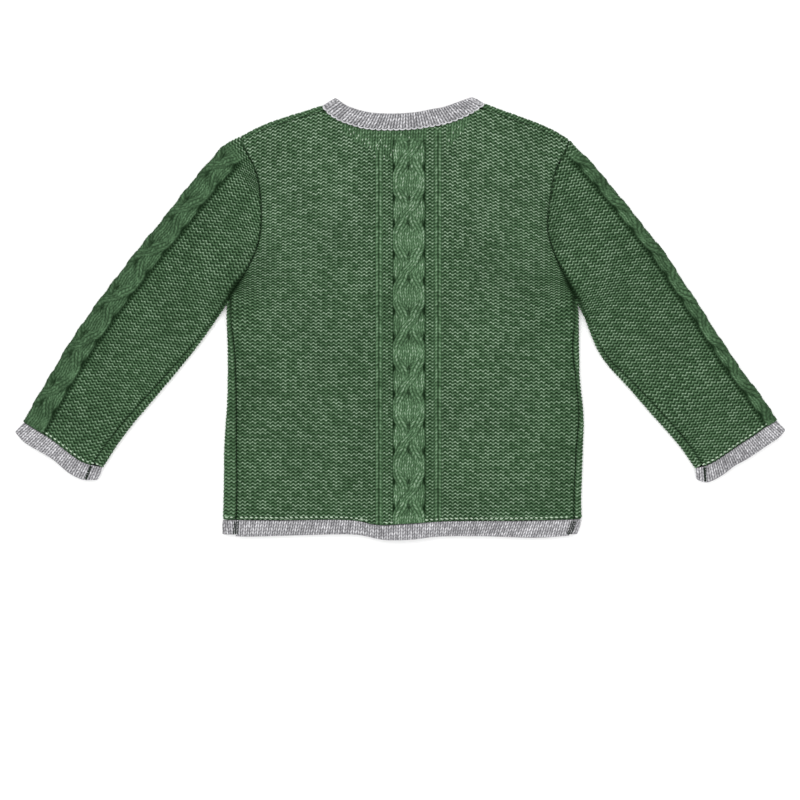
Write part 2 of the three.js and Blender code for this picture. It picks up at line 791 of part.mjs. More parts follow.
function makeFront(half) {
  const gap = SEAM_GAP / 2;
  const { sign } = half;
  const bandX = FRONT_CENTRE + sign * (BAND_HALF_WIDTH + SEAM_GAP);
  const rise = (x) => (sign > 0 ? rightFrontRise(x) : 0);
  const neckStart = (t) => beside(half, 'frontNeckSeam', t, -FRONT_NECK_GAP);
  let bandShare = 1;
  for (let i = 0; i <= 200; i += 1) {
    if (Math.abs(neckStart(i / 200).x - FRONT_CENTRE) <= Math.abs(bandX - FRONT_CENTRE)) {
      bandShare = i / 200;
      break;
    }
  }
  const foldLine = (t) => {
    const { x, y } = foldDirection(half, t);
    return shifted(half.curves.shoulder(t), x * FOLD_RADIUS, y * FOLD_RADIUS);
  };
  const bandLine = (t) => ({
    x: bandX,
    y: THREE.MathUtils.lerp(half.frontHemY + gap, neckStart(bandShare).y, t),
  });
  const neckTop = shifted(foldLine(0), sign * gap, 0);
  const neckLine = (t) => (t > 0.999 ? neckTop : neckStart(bandShare * (1 - t)));
  const sideLine = (t) => {
    const y = THREE.MathUtils.lerp(half.frontHemY + gap, half.armpit.y, t);
    return { x: half.edgeX(y) - sign * FOLD_RADIUS, y };
  };
  const armholeTop = shifted(foldLine(1), -sign * SEAM_GAP, 0);
  const armholeLine = (t) => {
    if (t > 0.999) return armholeTop;
    if (t < 0.001) return sideLine(1);
    const foot = FOLD_RADIUS / 145;
    return beside(half, 'armhole', 1 - t * (1 - foot), ARMHOLE_GAP);
  };
  const low = (u) => mix(bandLine(0), sideLine(0), u);
  const top = (u) => {
    if (u < 0.001) return neckTop;
    return u > 0.999 ? armholeTop : foldLine(u);
  };
  const map = patch({
    bottom: low,
    top,
    inner: joined(bandLine, neckLine, FRONT_NECK_SHARE),
    outer: joined(sideLine, armholeLine, ARMPIT_SHARE),
  });
  const outer = [];
  const inner = [];
  const steps = FRONT_BODY_ROWS + FRONT_ARMHOLE_ROWS;
  for (let j = 0; j <= steps; j += 1) {
    const v = j <= FRONT_BODY_ROWS
      ? ARMPIT_SHARE * j / FRONT_BODY_ROWS
      : THREE.MathUtils.lerp(ARMPIT_SHARE, 1, (j - FRONT_BODY_ROWS) / FRONT_ARMHOLE_ROWS);
    const outerRow = [];
    const innerRow = [];
    for (const u of FRONT_ACROSS) {
      const { x, y } = map(u, v);
      const z = rise(x);
      outerRow.push(new THREE.Vector3(x, y, z));
      innerRow.push(new THREE.Vector3(x, y, z + CLOTH));
    }
    // The wrap over the side fold, which only the rows below the armpit have
    const { x, y } = outerRow[outerRow.length - 1];
    const wrapped = j <= FRONT_BODY_ROWS;
    const edge = wrapped ? half.edgeX(y) : x;
    const reach = wrapped ? lengthAtInset(half.seamInset(y) - gap) : 0;
    for (let k = 1; k <= WRAP_STEPS; k += 1) {
      const length = THREE.MathUtils.lerp(-HALF_FOLD, reach, k / WRAP_STEPS);
      const made = foldPoints({ x: edge, y }, { x: -sign, y: 0 }, length, CLOTH);
      outerRow.push(made.outer);
      innerRow.push(made.inner);
    }
    outer.push(outerRow);
    inner.push(innerRow);
  }
  // The wrap over the shoulder fold
  const reach = lengthAtInset(SHOULDER_SEAM_INSET);
  for (let k = 1; k <= WRAP_STEPS; k += 1) {
    const length = THREE.MathUtils.lerp(-HALF_FOLD, reach, k / WRAP_STEPS);
    const outerRow = [];
    const innerRow = [];
    FRONT_ACROSS.forEach((u) => {
      const direction = foldDirection(half, u);
      const start = half.curves.shoulder(u);
      const side = u < 0.001 ? sign * gap : 0;
      const shift = u > 0.999 ? -sign * SEAM_GAP : side;
      const made = foldPoints(shifted(start, shift, 0), direction, length, CLOTH);
      outerRow.push(made.outer);
      innerRow.push(made.inner);
    });
    for (let n = 0; n < WRAP_STEPS; n += 1) {
      outerRow.push(outerRow[FRONT_ACROSS.length - 1]);
      innerRow.push(innerRow[FRONT_ACROSS.length - 1]);
    }
    outer.push(outerRow);
    inner.push(innerRow);
  }
  // Columns past the panel exist only below the armpit
  const domain = (j, i) => i < FRONT_ACROSS.length || j <= FRONT_BODY_ROWS;
  // Seen from outside, the left front runs from its side to the band
  if (sign < 0) {
    const reverse = (rows) => rows.map((row) => [...row].reverse());
    const columns = outer[0].length;
    return sheetSolid(reverse(inner), reverse(outer), (j, i) => domain(j, columns - i)).geometry();
  }
  return sheetSolid(inner, outer, domain).geometry();
}

// Sleeve: a flattened tube. A station line runs from its top fold to its underarm fold.
const SLEEVE_STATIONS = 16;
const SLEEVE_CABLE_ROWS = 66;
const SLEEVE_ACROSS = 7;
const ARC_STEPS = 4;

function sleeveMap(half) {
  const armhole = (t) => beside(half, 'armhole', t, -SEAM_GAP / 2);
  const { sleeveTop, sleeveUnder, cuffSeam } = half.curves;
  const start = { top: armhole(0), under: armhole(1) };
  const rail = (curve, from) => (s) => {
    const first = curve(0);
    return shifted(curve(s), (from.x - first.x) * (1 - s), (from.y - first.y) * (1 - s));
  };
  const plan = patch({
    bottom: armhole,
    top: cuffSeam,
    inner: rail(sleeveTop, start.top),
    outer: rail(sleeveUnder, start.under),
  });
  return (s, t) => plan(t, s);
}

// The width of the flattened tube at a station, along its line
function stationLine(map, s) {
  const steps = 24;
  const points = [];
  const lengths = [0];
  for (let i = 0; i <= steps; i += 1) points.push(map(s, i / steps));
  for (let i = 1; i <= steps; i += 1) {
    const step = Math.hypot(points[i].x - points[i - 1].x, points[i].y - points[i - 1].y);
    lengths.push(lengths[i - 1] + step);
  }
  const width = lengths[steps];
  const at = (inset) => {
    const wanted = THREE.MathUtils.clamp(inset, 0, width);
    const i = Math.min(steps - 1, lengths.findLastIndex((length) => length <= wanted));
    const t = (wanted - lengths[i]) / (lengths[i + 1] - lengths[i]);
    return mix(points[i], points[i + 1], t);
  };
  return { width, at };
}

// A point of a flattened tube's skin. Length runs round it from the top fold over the upper side.
function tubePoint(line, length, thick, lift) {
  const flat = line.width - 2 * FOLD_RADIUS;
  const around = 2 * flat + 4 * HALF_FOLD;
  let at = ((length + HALF_FOLD) % around + around) % around - HALF_FOLD;
  let inset;
  let out;
  let up;
  let z;
  if (at <= HALF_FOLD) {
    const angle = at / FOLD_RADIUS;
    inset = FOLD_RADIUS * (1 - Math.cos(angle));
    out = -Math.cos(angle);
    up = Math.sin(angle);
    z = FOLD_RADIUS * (1 + up);
  } else if (at <= HALF_FOLD + flat) {
    inset = FOLD_RADIUS + at - HALF_FOLD;
    out = 0;
    up = 1;
    z = foldHeight(Math.min(inset, line.width - inset));
  } else if (at <= 3 * HALF_FOLD + flat) {
    at -= HALF_FOLD + flat;
    const angle = at / FOLD_RADIUS;
    inset = line.width - FOLD_RADIUS * (1 - Math.sin(angle));
    out = Math.sin(angle);
    up = Math.cos(angle);
    z = FOLD_RADIUS * (1 + up);
  } else {
    inset = line.width - FOLD_RADIUS - (at - 3 * HALF_FOLD - flat);
    out = 0;
    up = -1;
    z = 0;
  }
  const plan = line.at(inset);
  const near = line.at(inset - 1);
  const far = line.at(inset + 1);
  const span = Math.hypot(far.x - near.x, far.y - near.y);
  const direction = { x: (far.x - near.x) / span, y: (far.y - near.y) / span };
  const crease = up > 0 ? creaseHeight(plan.x, plan.y) * up : 0;
  const rise = lift - thick;
  return new THREE.Vector3(
    plan.x + direction.x * out * rise,
    plan.y + direction.y * out * rise,
    Math.max(0, z + crease + up * rise));
}

// Lengths round the tube, without the cable's columns, from the end of the cable on
function plainLengths(width, from) {
  const flat = width - 2 * FOLD_RADIUS;
  const around = 2 * flat + 4 * HALF_FOLD;
  const lengths = [];
  const topEnd = HALF_FOLD + flat;
  for (let i = 1; i <= SLEEVE_ACROSS; i += 1) lengths.push(from + (topEnd - from) * i / SLEEVE_ACROSS);
  for (let i = 1; i <= ARC_STEPS; i += 1) lengths.push(topEnd + 2 * HALF_FOLD * i / ARC_STEPS);
  const bottomStart = topEnd + 2 * HALF_FOLD;
  for (let i = 1; i <= 3; i += 1) lengths.push(bottomStart + flat * i / 3);
  return lengths.filter((length) => length < around - HALF_FOLD + 0.01);
}

function makeSleeve(half) {
  const map = sleeveMap(half);
  const { centre, from, to, columns, ring } = half.sleeveCable;
  const solid = new Solid();
  const outerRows = [];
  const innerRows = [];
  const turned = half.sign < 0;
  const ease = 2.5;
  for (let j = 0; j <= SLEEVE_STATIONS; j += 1) {
    const line = stationLine(map, j / SLEEVE_STATIONS);
    const outerRow = [tubePoint(line, to + ease, 0, 0)];
    for (const length of plainLengths(line.width, to + ease)) outerRow.push(tubePoint(line, length, 0, 0));
    outerRow.push(tubePoint(line, from - ease * 0.4, 0, 0));
    outerRows.push(outerRow);
    const innerRow = [];
    for (let i = 0; i <= ARC_STEPS; i += 1) {
      innerRow.push(tubePoint(line, -HALF_FOLD + 2 * HALF_FOLD * i / ARC_STEPS, CLOTH, 0));
    }
    for (const length of plainLengths(line.width, HALF_FOLD)) {
      innerRow.push(tubePoint(line, length, CLOTH, 0));
    }
    innerRows.push(innerRow);
  }
  const cableRows = [];
  let travelled = 0;
  let before = null;
  for (let j = 0; j <= SLEEVE_CABLE_ROWS; j += 1) {
    const line = stationLine(map, j / SLEEVE_CABLE_ROWS);
    const middle = line.at(FOLD_RADIUS);
    if (before) travelled += Math.hypot(middle.x - before.x, middle.y - before.y);
    before = middle;
    const row = [];
    for (let i = 0; i <= columns; i += 1) {
      const length = THREE.MathUtils.lerp(from, to, i / columns);
      const raised = cableRelief(length - centre, travelled - ring);
      const fade = smooth(-HALF_FOLD - 0.6, -HALF_FOLD + 2.5, length);
      row.push(tubePoint(line, length, 0, raised * fade));
    }
    cableRows.push(row);
  }
  solid.grid(outerRows, turned);
  solid.grid(cableRows, turned);
  const lastOuter = outerRows[0].length - 1;
  solid.zip(cableRows.map((row) => row[0]), outerRows.map((row) => row[lastOuter]), turned);
  solid.zip(outerRows.map((row) => row[0]), cableRows.map((row) => row[columns]), turned);
  solid.grid(innerRows, !turned);
  // The two ends
  for (const end of [0, SLEEVE_STATIONS]) {
    const cableRow = end === 0 ? cableRows[0] : cableRows[SLEEVE_CABLE_ROWS];
    const outer = [...cableRow, ...outerRows[end], cableRow[0]];
    const inner = innerRows[end];
    solid.zip(inner, outer, end === 0 ? turned : !turned);
  }
  return solid.geometry();
}

// A narrow band swept along stations. Each has points at the seam and at the free edge, and a normal.
const BAND_SECTION = table(['across', 'height'],
  [0.0, 0.0],
  [0.0, -0.7],
  [0.1, -1.0],
  [0.9, -1.0],
  [1.0, -0.75],
  [1.0, -0.25],
  [0.9, 0.0],
  [0.5, 0.12]);

function makeStrip(stations, closed, turned) {
  const solid = new Solid();
  const rings = stations.map(({ seam, edge, normal, thick }) => {
    const across = edge.clone().sub(seam);
    return BAND_SECTION.map(({ across: a, height }) => {
      const raised = normal.z > 0.2 ? height : Math.min(height, 0);
      const point = seam.clone().addScaledVector(across, a).addScaledVector(normal, raised * thick);
      if (normal.z < -0.9 && height === 0) point.z = Math.max(0, point.z);
      return point;
    });
  });
  const count = BAND_SECTION.length;
  const loops = closed ? rings.length : rings.length - 1;
  for (let k = 0; k < loops; k += 1) {
    const a = rings[k];
    const b = rings[(k + 1) % rings.length];
    for (let i = 0; i < count; i += 1) {
      const n = (i + 1) % count;
      const corners = [a[i], a[n], b[n], b[i]];
      if (turned) corners.reverse();
      solid.quad(...corners);
    }
  }
  if (!closed) {
    for (const [ring, flip] of [[rings[0], turned], [rings[rings.length - 1], !turned]]) {
      for (let i = 1; i < count - 1; i += 1) {
        const corners = [ring[0], ring[i + 1], ring[i]];
        if (flip) corners.reverse();
        solid.triangle(...corners);
      }
    }
  }
  return solid.geometry();
}

function station(seam, edge, z, normal, thick = TRIM_CLOTH) {
  return {
    seam: new THREE.Vector3(seam.x, seam.y, z(seam)),
    edge: new THREE.Vector3(edge.x, edge.y, z(edge)),
    normal,
    thick,
  };
}

const UP = new THREE.Vector3(0, 0, 1);
const DOWN = new THREE.Vector3(0, 0, -1);

// A station of a trim where it passes over a fold
function foldStation(seam, edge, inward, length) {
  const { inset, z, out, up } = overFold(length);
  const move = (point) => new THREE.Vector3(point.x + inward.x * inset, point.y + inward.y * inset, z ?? 0);
  const normal = new THREE.Vector3(-inward.x * out, -inward.y * out, up).normalize();
  const made = { seam: move(seam), edge: move(edge), normal, thick: TRIM_CLOTH };
  if (z === null) {
    for (const point of [made.seam, made.edge]) point.z = bodyTop(point.x, point.y);
  }
  return made;
}

const FOLD_STEPS = 6;

function makeHemBack() {
  const gap = SEAM_GAP / 2;
  const steps = 36;
  const stations = [];
  const at = (half, y) => half.edgeX(y) - half.sign * (half.hemInset + gap);
  for (let i = 0; i <= steps; i += 1) {
    const t = i / steps;
    const high = THREE.MathUtils.lerp(at(LEFT, HEM_SEAM_Y), at(RIGHT, HEM_SEAM_Y), t);
    const low = THREE.MathUtils.lerp(at(LEFT, HEM_EDGE_Y), at(RIGHT, HEM_EDGE_Y), t);
    const seam = { x: high, y: hemSeamY(high) - gap * 1.8 };
    const edge = { x: low, y: hemEdgeY(low) };
    stations.push(station(seam, edge, ({ x, y }) => bodyTop(x, y) + 0.1, UP));
  }
  return makeStrip(stations, false, true);
}

function makeHemFront(half) {
  const gap = SEAM_GAP / 2;
  const { sign } = half;
  const steps = 12;
  const stations = [];
  const rise = ({ x }) => (sign > 0 ? rightFrontRise(x) : 0);
  const bandX = FRONT_CENTRE + sign * (BAND_HALF_WIDTH + SEAM_GAP);
  const high = half.edgeX(HEM_SEAM_Y);
  const low = half.edgeX(HEM_EDGE_Y);
  for (let i = 0; i < steps; i += 1) {
    const t = i / steps;
    const seamX = THREE.MathUtils.lerp(bandX, high - sign * FOLD_RADIUS, t);
    const edgeX = THREE.MathUtils.lerp(bandX, low - sign * FOLD_RADIUS, t);
    const seam = { x: seamX, y: half.frontHemY - gap };
    const edge = { x: edgeX, y: half.frontHemEdgeY };
    stations.push(station(seam, edge, rise, DOWN));
  }
  const seam = { x: high, y: half.frontHemY - gap };
  const edge = { x: low, y: half.frontHemEdgeY };
  const reach = lengthAtInset(half.hemInset - gap);
  const inward = { x: -sign, y: 0 };
  for (let k = 0; k <= FOLD_STEPS; k += 1) {
    const length = THREE.MathUtils.lerp(-HALF_FOLD, reach, k / FOLD_STEPS);
    stations.push(foldStation(seam, edge, inward, length));
  }
  return makeStrip(stations, false, sign < 0);
}

// The neckband runs from the left front's end over the shoulders to the right front's end
function makeNeckband() {
  const stations = [];
  const gap = SEAM_GAP / 2;
  const frontSteps = 9;
  const halfStations = (half) => {
    const made = [];
    const { frontNeckEdge, neckEdge } = half.curves;
    const end = FRONT_CENTRE - half.sign * BAND_HALF_WIDTH;
    const rise = ({ x }) => (half.sign > 0 ? rightFrontRise(x) : 0);
    const ends = { seam: { x: end, y: BAND_TOP + 0.9 }, edge: { x: end, y: 145.3 } };
    made.push(station(ends.seam, ends.edge, rise, DOWN));
    for (let i = 0; i < frontSteps; i += 1) {
      const t = 1 - i / frontSteps;
      made.push(station(beside(half, 'frontNeckSeam', t, gap), frontNeckEdge(t), rise, DOWN));
    }
    const seam = half.neckSeam[0];
    const edge = half.neckEdge[0];
    for (let k = 0; k <= FOLD_STEPS; k += 1) {
      const length = THREE.MathUtils.lerp(-HALF_FOLD, HALF_FOLD, k / FOLD_STEPS);
      made.push(foldStation(seam, edge, half.neckFold, length));
    }
    const backSteps = 10;
    const top = ({ x, y }) => Math.max(bodyTop(x, y), NECKBAND_TOP);
    for (let i = 1; i <= backSteps; i += 1) {
      const t = i / backSteps;
      made.push(station(beside(half, 'neckSeam', t, gap), neckEdge(t), top, UP));
    }
    return made;
  };
  const left = halfStations(LEFT);
  const right = halfStations(RIGHT);
  right.pop();
  stations.push(...left, ...right.reverse());
  return makeStrip(stations, false, false);
}

function makeCuff(half) {
  const map = sleeveMap(half);
  const line = stationLine(map, 1);
  const endLine = stationLine((s, t) => half.curves.cuffEnd(t), 1);
  const flat = line.width - 2 * FOLD_RADIUS;
  const endFlat = endLine.width - 2 * FOLD_RADIUS;
  const middle = line.at(line.width / 2);
  const away = endLine.at(endLine.width / 2);
  const share = SEAM_GAP / Math.hypot(away.x - middle.x, away.y - middle.y);
  const step = { x: (away.x - middle.x) * share, y: (away.y - middle.y) * share };
  const stations = [];
  const lengths = [];
  for (let i = 0; i < ARC_STEPS; i += 1) lengths.push(-HALF_FOLD + 2 * HALF_FOLD * i / ARC_STEPS);
  for (let i = 0; i < 8; i += 1) lengths.push(HALF_FOLD + flat * i / 8);
  for (let i = 0; i < ARC_STEPS; i += 1) lengths.push(HALF_FOLD + flat + 2 * HALF_FOLD * i / ARC_STEPS);
  for (let i = 0; i < 8; i += 1) lengths.push(3 * HALF_FOLD + flat + flat * i / 8);
  for (const at of lengths) {
    const skin = tubePoint(line, at, 0, 0);
    const inside = tubePoint(line, at, 1, 0);
    const normal = skin.clone().sub(inside).normalize();
    // The same share of each stretch: the top fold, the upper side, the underarm fold, the underside
    const upper = THREE.MathUtils.clamp(at - HALF_FOLD, 0, flat);
    const under = Math.max(0, at - 3 * HALF_FOLD - flat);
    const endAt = at + (upper + under) * (endFlat / flat - 1);
    const edge = tubePoint(endLine, endAt, 0, 0);
    const seam = skin.clone();
    seam.x += step.x;
    seam.y += step.y;
    stations.push({ seam, edge, normal, thick: TRIM_CLOTH });
  }
  return makeStrip(stations, true, half.sign < 0);
}

function makeBand(upper) {
  const rowsY = [BAND_BOTTOM, BAND_TOP];
  for (const at of BUTTON_Y) rowsY.push(at - 20.5, at - 15, at - 9, at, at + 9, at + 15, at + 20.5);
  const ordered = rowsY.filter((y) => y >= BAND_BOTTOM && y <= BAND_TOP).sort((a, b) => a - b);
  const outer = [];
  const inner = [];
  for (const y of ordered) {
    const share = buttonShare(y);
    const thick = CLOTH - THIN_OVER_BUTTON * share;
    const low = upper ? BUTTON_LIFT * share + thick + LAYER_GAP : BUTTON_LIFT * share;
    const outerRow = [];
    const innerRow = [];
    for (let i = 0; i <= 2; i += 1) {
      const x = FRONT_CENTRE + BAND_HALF_WIDTH * (i - 1);
      outerRow.push(new THREE.Vector3(x, y, low + thick));
      innerRow.push(new THREE.Vector3(x, y, low));
    }
    outer.push(outerRow);
    inner.push(innerRow);
  }
  return sheetSolid(outer, inner).geometry();
}

function makeButton() {
  const ring = (x, y, radius, sides) => Array.from({ length: sides }, (_, i) => {
    const angle = 2 * Math.PI * i / sides;
    return new THREE.Vector2(x + radius * Math.cos(angle), y + radius * Math.sin(angle));
  });
  const disc = new THREE.Shape(ring(0, 0, BUTTON_RADIUS, 22));
  for (let k = 0; k < 4; k += 1) {
    const angle = Math.PI / 4 + k * Math.PI / 2;
    const hole = ring(HOLE_PLACE * Math.cos(angle), HOLE_PLACE * Math.sin(angle), HOLE_RADIUS, 6);
    disc.holes.push(new THREE.Path(hole));
  }
  return new THREE.ExtrudeGeometry(disc, { depth: BUTTON_THICK, bevelEnabled: false });
}

function cloth(color) {
  return new THREE.MeshStandardMaterial({ color, roughness: 0.95, metalness: 0 });
}

function piece(name, geometry, material) {
  const mesh = new THREE.Mesh(geometry, material);
  mesh.name = name;
  return mesh;
}

const cardigan = new THREE.Group();
cardigan.add(piece('back', makeBack(), cloth(GREEN)));
cardigan.add(piece('hem_back', makeHemBack(), cloth(GREY)));
cardigan.add(piece('neckband', makeNeckband(), cloth(GREY)));
cardigan.add(piece('band_buttonhole', makeBand(false), cloth(GREY)));
cardigan.add(piece('band_button', makeBand(true), cloth(GREY)));
for (const half of [LEFT, RIGHT]) {
  cardigan.add(piece(`front_${half.name}`, makeFront(half), cloth(GREEN)));
  cardigan.add(piece(`sleeve_${half.name}`, makeSleeve(half), cloth(GREEN)));
  cardigan.add(piece(`hem_front_${half.name}`, makeHemFront(half), cloth(GREY)));
  cardigan.add(piece(`cuff_${half.name}`, makeCuff(half), cloth(GREY)));
}
BUTTON_Y.forEach((y, i) => {
  const button = piece(`button_${i + 1}`, makeButton(),
    new THREE.MeshStandardMaterial({ color: HORN, roughness: 0.4, metalness: 0 }));
  button.position.set(FRONT_CENTRE, y, 0);
  cardigan.add(button);
});

export default cardigan;
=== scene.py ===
import bpy
import numpy as np
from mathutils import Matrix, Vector


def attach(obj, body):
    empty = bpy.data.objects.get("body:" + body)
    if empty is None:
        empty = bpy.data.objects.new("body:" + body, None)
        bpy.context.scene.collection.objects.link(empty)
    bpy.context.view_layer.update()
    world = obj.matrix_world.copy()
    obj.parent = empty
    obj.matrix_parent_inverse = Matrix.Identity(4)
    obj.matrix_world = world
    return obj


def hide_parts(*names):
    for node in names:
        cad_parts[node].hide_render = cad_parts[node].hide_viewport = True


# A child's knitted cardigan, laid flat on its front and seen from the back.
# Sizes are in millimetres, as in the CAD source, and meshes are scaled to metres when they are made.
# +X is the wearer's right, +Y points to the neck, and z = 0 is the surface it lies on.
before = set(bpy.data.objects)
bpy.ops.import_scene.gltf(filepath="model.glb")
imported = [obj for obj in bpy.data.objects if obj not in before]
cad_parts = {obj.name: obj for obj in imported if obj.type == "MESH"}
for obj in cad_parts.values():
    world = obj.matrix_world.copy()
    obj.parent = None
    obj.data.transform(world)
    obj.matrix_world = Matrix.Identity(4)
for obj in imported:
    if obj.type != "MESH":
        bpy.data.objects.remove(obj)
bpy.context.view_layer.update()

MM = 0.001
RANDOM = np.random.default_rng(11)

# Cloth and folds
TRIM_CLOTH = 2.6
SEAM_GAP = 0.4
HALF_GAP = SEAM_GAP / 2
LINE_GAP = 0.3                  # cloth ends this far inside the lines of the armholes and the neck
FOLD_RADIUS = 3.2
LAYER_TOP = 5.8
FOLD_SETTLE = 14.0
NECKBAND_TOP = 6.2
HALF_FOLD = FOLD_RADIUS * np.pi / 2
SHOULDER_SEAM_INSET = FOLD_RADIUS + 0.7

# Knitted ground: reverse stockinette, whose rows are wavy ridges with holes between them
STITCH_WIDTH = 4.15
ROW_PITCH = 2.83
ROW_WAVE = 0.25                 # share of the row pitch by which a row waves up and down
PURL_RELIEF = 1.25
COLUMNS_PER_STITCH = 6
LINES_PER_ROW = 4

# Cables, ribs and trims
CABLE_STITCH = 3.25
CABLE_PERIOD = 46.5
BACK_CABLE = {"x": 7.8, "ring": 18.5, "start": 147.0}
RIBS = ({"x": -17.0, "start": 142.0}, {"x": 31.6, "start": 158.0})
RIB_RELIEF = 1.1
RIB_HALF_WIDTH = 2.5
LEG_RELIEF = 0.5
CABLE_SHADE = 0.63
CABLE_EDGE = 4.0 * CABLE_STITCH
STRIP = {"left": -20.6, "right": 35.4}
STRIP_STEP = 0.5
TRIM_STITCH = 3.9

# Front bands
FRONT_CENTRE = 3.0
BAND_HALF_WIDTH = 10.0
BACK_OVER_BANDS = 9.0
NECK_LIFT_END = 147.0
BANDS_SETTLE = 34.0

# Outline tables. side: y, edge, seam inset. The others: x, y.
LEFT = {
    "name": "left",
    "sign": -1,
    "side": [(15.0, -140.6, 1.2), (2.0, -141.1, 2.2), (-24.0, -140.3, 4.8), (-64.0, -140.4, 6.4),
             (-104.0, -143.0, 9.2), (-140.0, -143.4, 10.0), (-166.0, -144.6, 10.3),
             (-170.5, -146.2, 10.6), (-178.0, -144.4, 10.2)],
    "armhole": [(-130.0, 148.8), (-127.8, 141.5), (-117.7, 120.1), (-113.6, 92.3),
                (-115.2, 64.4), (-125.1, 40.6), (-138.2, 20.4), (-140.6, 15.0)],
    "shoulder": [(-62.7, 174.3), (-81.6, 168.2), (-98.4, 163.0), (-114.0, 157.0), (-130.0, 148.8)],
    "sleeveTop": [(-130.0, 148.8), (-140.6, 143.1), (-150.5, 132.4), (-170.2, 109.5),
                  (-189.8, 84.1), (-209.5, 60.3), (-229.2, 34.9), (-248.9, 8.6),
                  (-268.6, -20.1), (-288.2, -52.9), (-307.3, -85.4)],
    "sleeveUnder": [(-140.6, 15.0), (-150.5, 0.4), (-164.4, -19.3), (-180.0, -39.0),
                    (-195.6, -57.8), (-218.5, -84.9), (-233.3, -104.6), (-244.1, -121.8)],
    "cuffSeam": [(-307.3, -85.4), (-298.6, -90.8), (-285.5, -99.2), (-272.3, -109.4),
                 (-261.6, -117.0), (-254.0, -119.8), (-244.1, -121.8)],
    "cuffEnd": [(-315.4, -93.2), (-308.0, -101.3), (-296.5, -108.4), (-284.5, -115.6),
                (-270.5, -127.2), (-259.3, -132.2), (-248.2, -132.4)],
    "neckSeam": [(-62.7, 174.3), (-56.5, 167.5), (-47.2, 162.3), (-36.7, 158.7),
                 (-27.5, 156.4), (-14.0, 155.3), (0.0, 155.2)],
    "neckEdge": [(-52.1, 181.0), (-43.0, 174.6), (-32.4, 171.0), (-22.6, 168.9),
                 (-11.0, 168.2), (0.0, 168.2)],
    "frontNeckSeam": [(-61.0, 171.6), (-52.5, 157.0), (-38.0, 143.5), (-20.0, 135.6), (3.0, 132.5)],
    "frontNeckEdge": [(-50.4, 178.3), (-42.5, 164.5), (-31.0, 154.0), (-16.0, 147.8), (3.0, 145.3)],
    "neckFold": (0.52, -0.85),
    "armholeFold": (0.25, -0.97),
    "underSeam": [(0.0, 1.0), (22.0, 1.1), (60.0, 3.6), (120.0, 5.8), (175.0, 8.0)],
    "cable": {"centre": 6.0, "from": -8.5, "to": 20.5, "ring": 8.6},
}
RIGHT = {
    "name": "right",
    "sign": 1,
    "side": [(16.5, 144.9, 1.2), (3.0, 146.2, 2.0), (-24.0, 146.6, 4.6), (-50.0, 147.3, 2.6),
             (-78.0, 150.2, 3.0), (-108.0, 149.6, 4.7), (-150.0, 148.3, 5.2),
             (-164.0, 148.8, 5.6), (-170.5, 149.8, 6.2), (-176.0, 145.4, 4.5)],
    "armhole": [(139.0, 146.2), (136.9, 139.0), (128.3, 121.8), (123.4, 96.4),
                (121.8, 71.8), (128.3, 50.4), (139.0, 28.3), (144.9, 16.5)],
    "shoulder": [(69.3, 175.9), (87.0, 169.2), (105.4, 162.6), (125.0, 154.4), (139.0, 146.2)],
    "sleeveTop": [(139.0, 146.2), (144.9, 139.0), (154.6, 128.3), (174.3, 105.4),
                  (193.9, 80.8), (213.6, 56.2), (233.3, 26.7), (253.0, -3.7),
                  (272.7, -34.0), (292.3, -60.8), (308.6, -84.1)],
    "sleeveUnder": [(144.9, 16.5), (152.9, 0.4), (157.9, -12.7), (163.6, -25.8), (172.6, -39.0),
                    (184.9, -52.1), (207.9, -78.3), (230.8, -104.6), (243.4, -122.6)],
    "cuffSeam": [(308.6, -84.1), (301.0, -88.6), (290.5, -96.2), (280.0, -102.9),
                 (269.6, -110.0), (259.1, -117.0), (251.2, -120.8), (243.4, -122.6)],
    "cuffEnd": [(316.7, -91.6), (310.8, -98.0), (303.6, -102.9), (285.3, -115.2),
                (274.8, -121.0), (264.4, -128.8), (252.0, -134.4), (243.8, -132.0)],
    "neckSeam": [(69.3, 175.9), (62.7, 171.4), (50.2, 164.9), (38.7, 160.7),
                 (24.0, 157.8), (12.5, 156.0), (0.0, 155.2)],
    "neckEdge": [(59.3, 181.8), (47.0, 177.3), (36.5, 173.6), (26.7, 171.8),
                 (14.0, 169.4), (0.0, 168.2)],
    "frontNeckSeam": [(67.8, 173.1), (59.0, 157.5), (44.5, 143.5), (26.5, 135.6), (3.0, 132.5)],
    "frontNeckEdge": [(57.8, 179.1), (49.5, 165.0), (38.0, 154.2), (22.5, 147.8), (3.0, 145.3)],
    "neckFold": (-0.50, -0.87),
    "armholeFold": (-0.28, -0.96),
    "underSeam": [(0.0, 1.0), (26.0, 1.1), (66.0, 3.8), (120.0, 6.2), (175.0, 6.0)],
    "cable": {"centre": -3.0, "from": -17.5, "to": 11.5, "ring": 8.6},
}
HALVES = (LEFT, RIGHT)
HEM_SEAM_Y = -165.0
HEM_EDGE_Y = -176.0
HEM_SEAM = [(-150, -165.0), (-100, -165.5), (-38, -165.6), (-17, -169.4), (4, -168.4),
            (40, -166.3), (100, -165.9), (155, -164.4)]
HEM_EDGE = [(-150, -177.0), (-130, -178.8), (-82, -177.8), (-35, -177.4), (-13, -181.4),
            (8, -181.4), (30, -179.0), (70, -178.6), (115, -179.8), (155, -176.4)]

# Soft ridges and troughs of the upper layer: from x, y, to x, y, width, height
CREASES = [
    (-109, 58, -60, 22, 13, 1.5), (-126, 22, -92, -12, 10, 1.0), (-128, 100, -140, 62, 12, 1.3),
    (-160, 52, -176, 8, 12, 1.0), (117, 60, 74, 20, 13, 1.3), (134, 24, 108, -8, 10, 1.0),
    (140, 96, 150, 58, 12, 1.4), (164, 50, 180, 4, 12, 1.1), (-60, -70, -25, -120, 16, 0.8),
    (78, -60, 110, -110, 16, 0.8), (-12, -150, -12, -178, 9, 1.4), (52, -158, 58, -180, 10, 0.7),
]


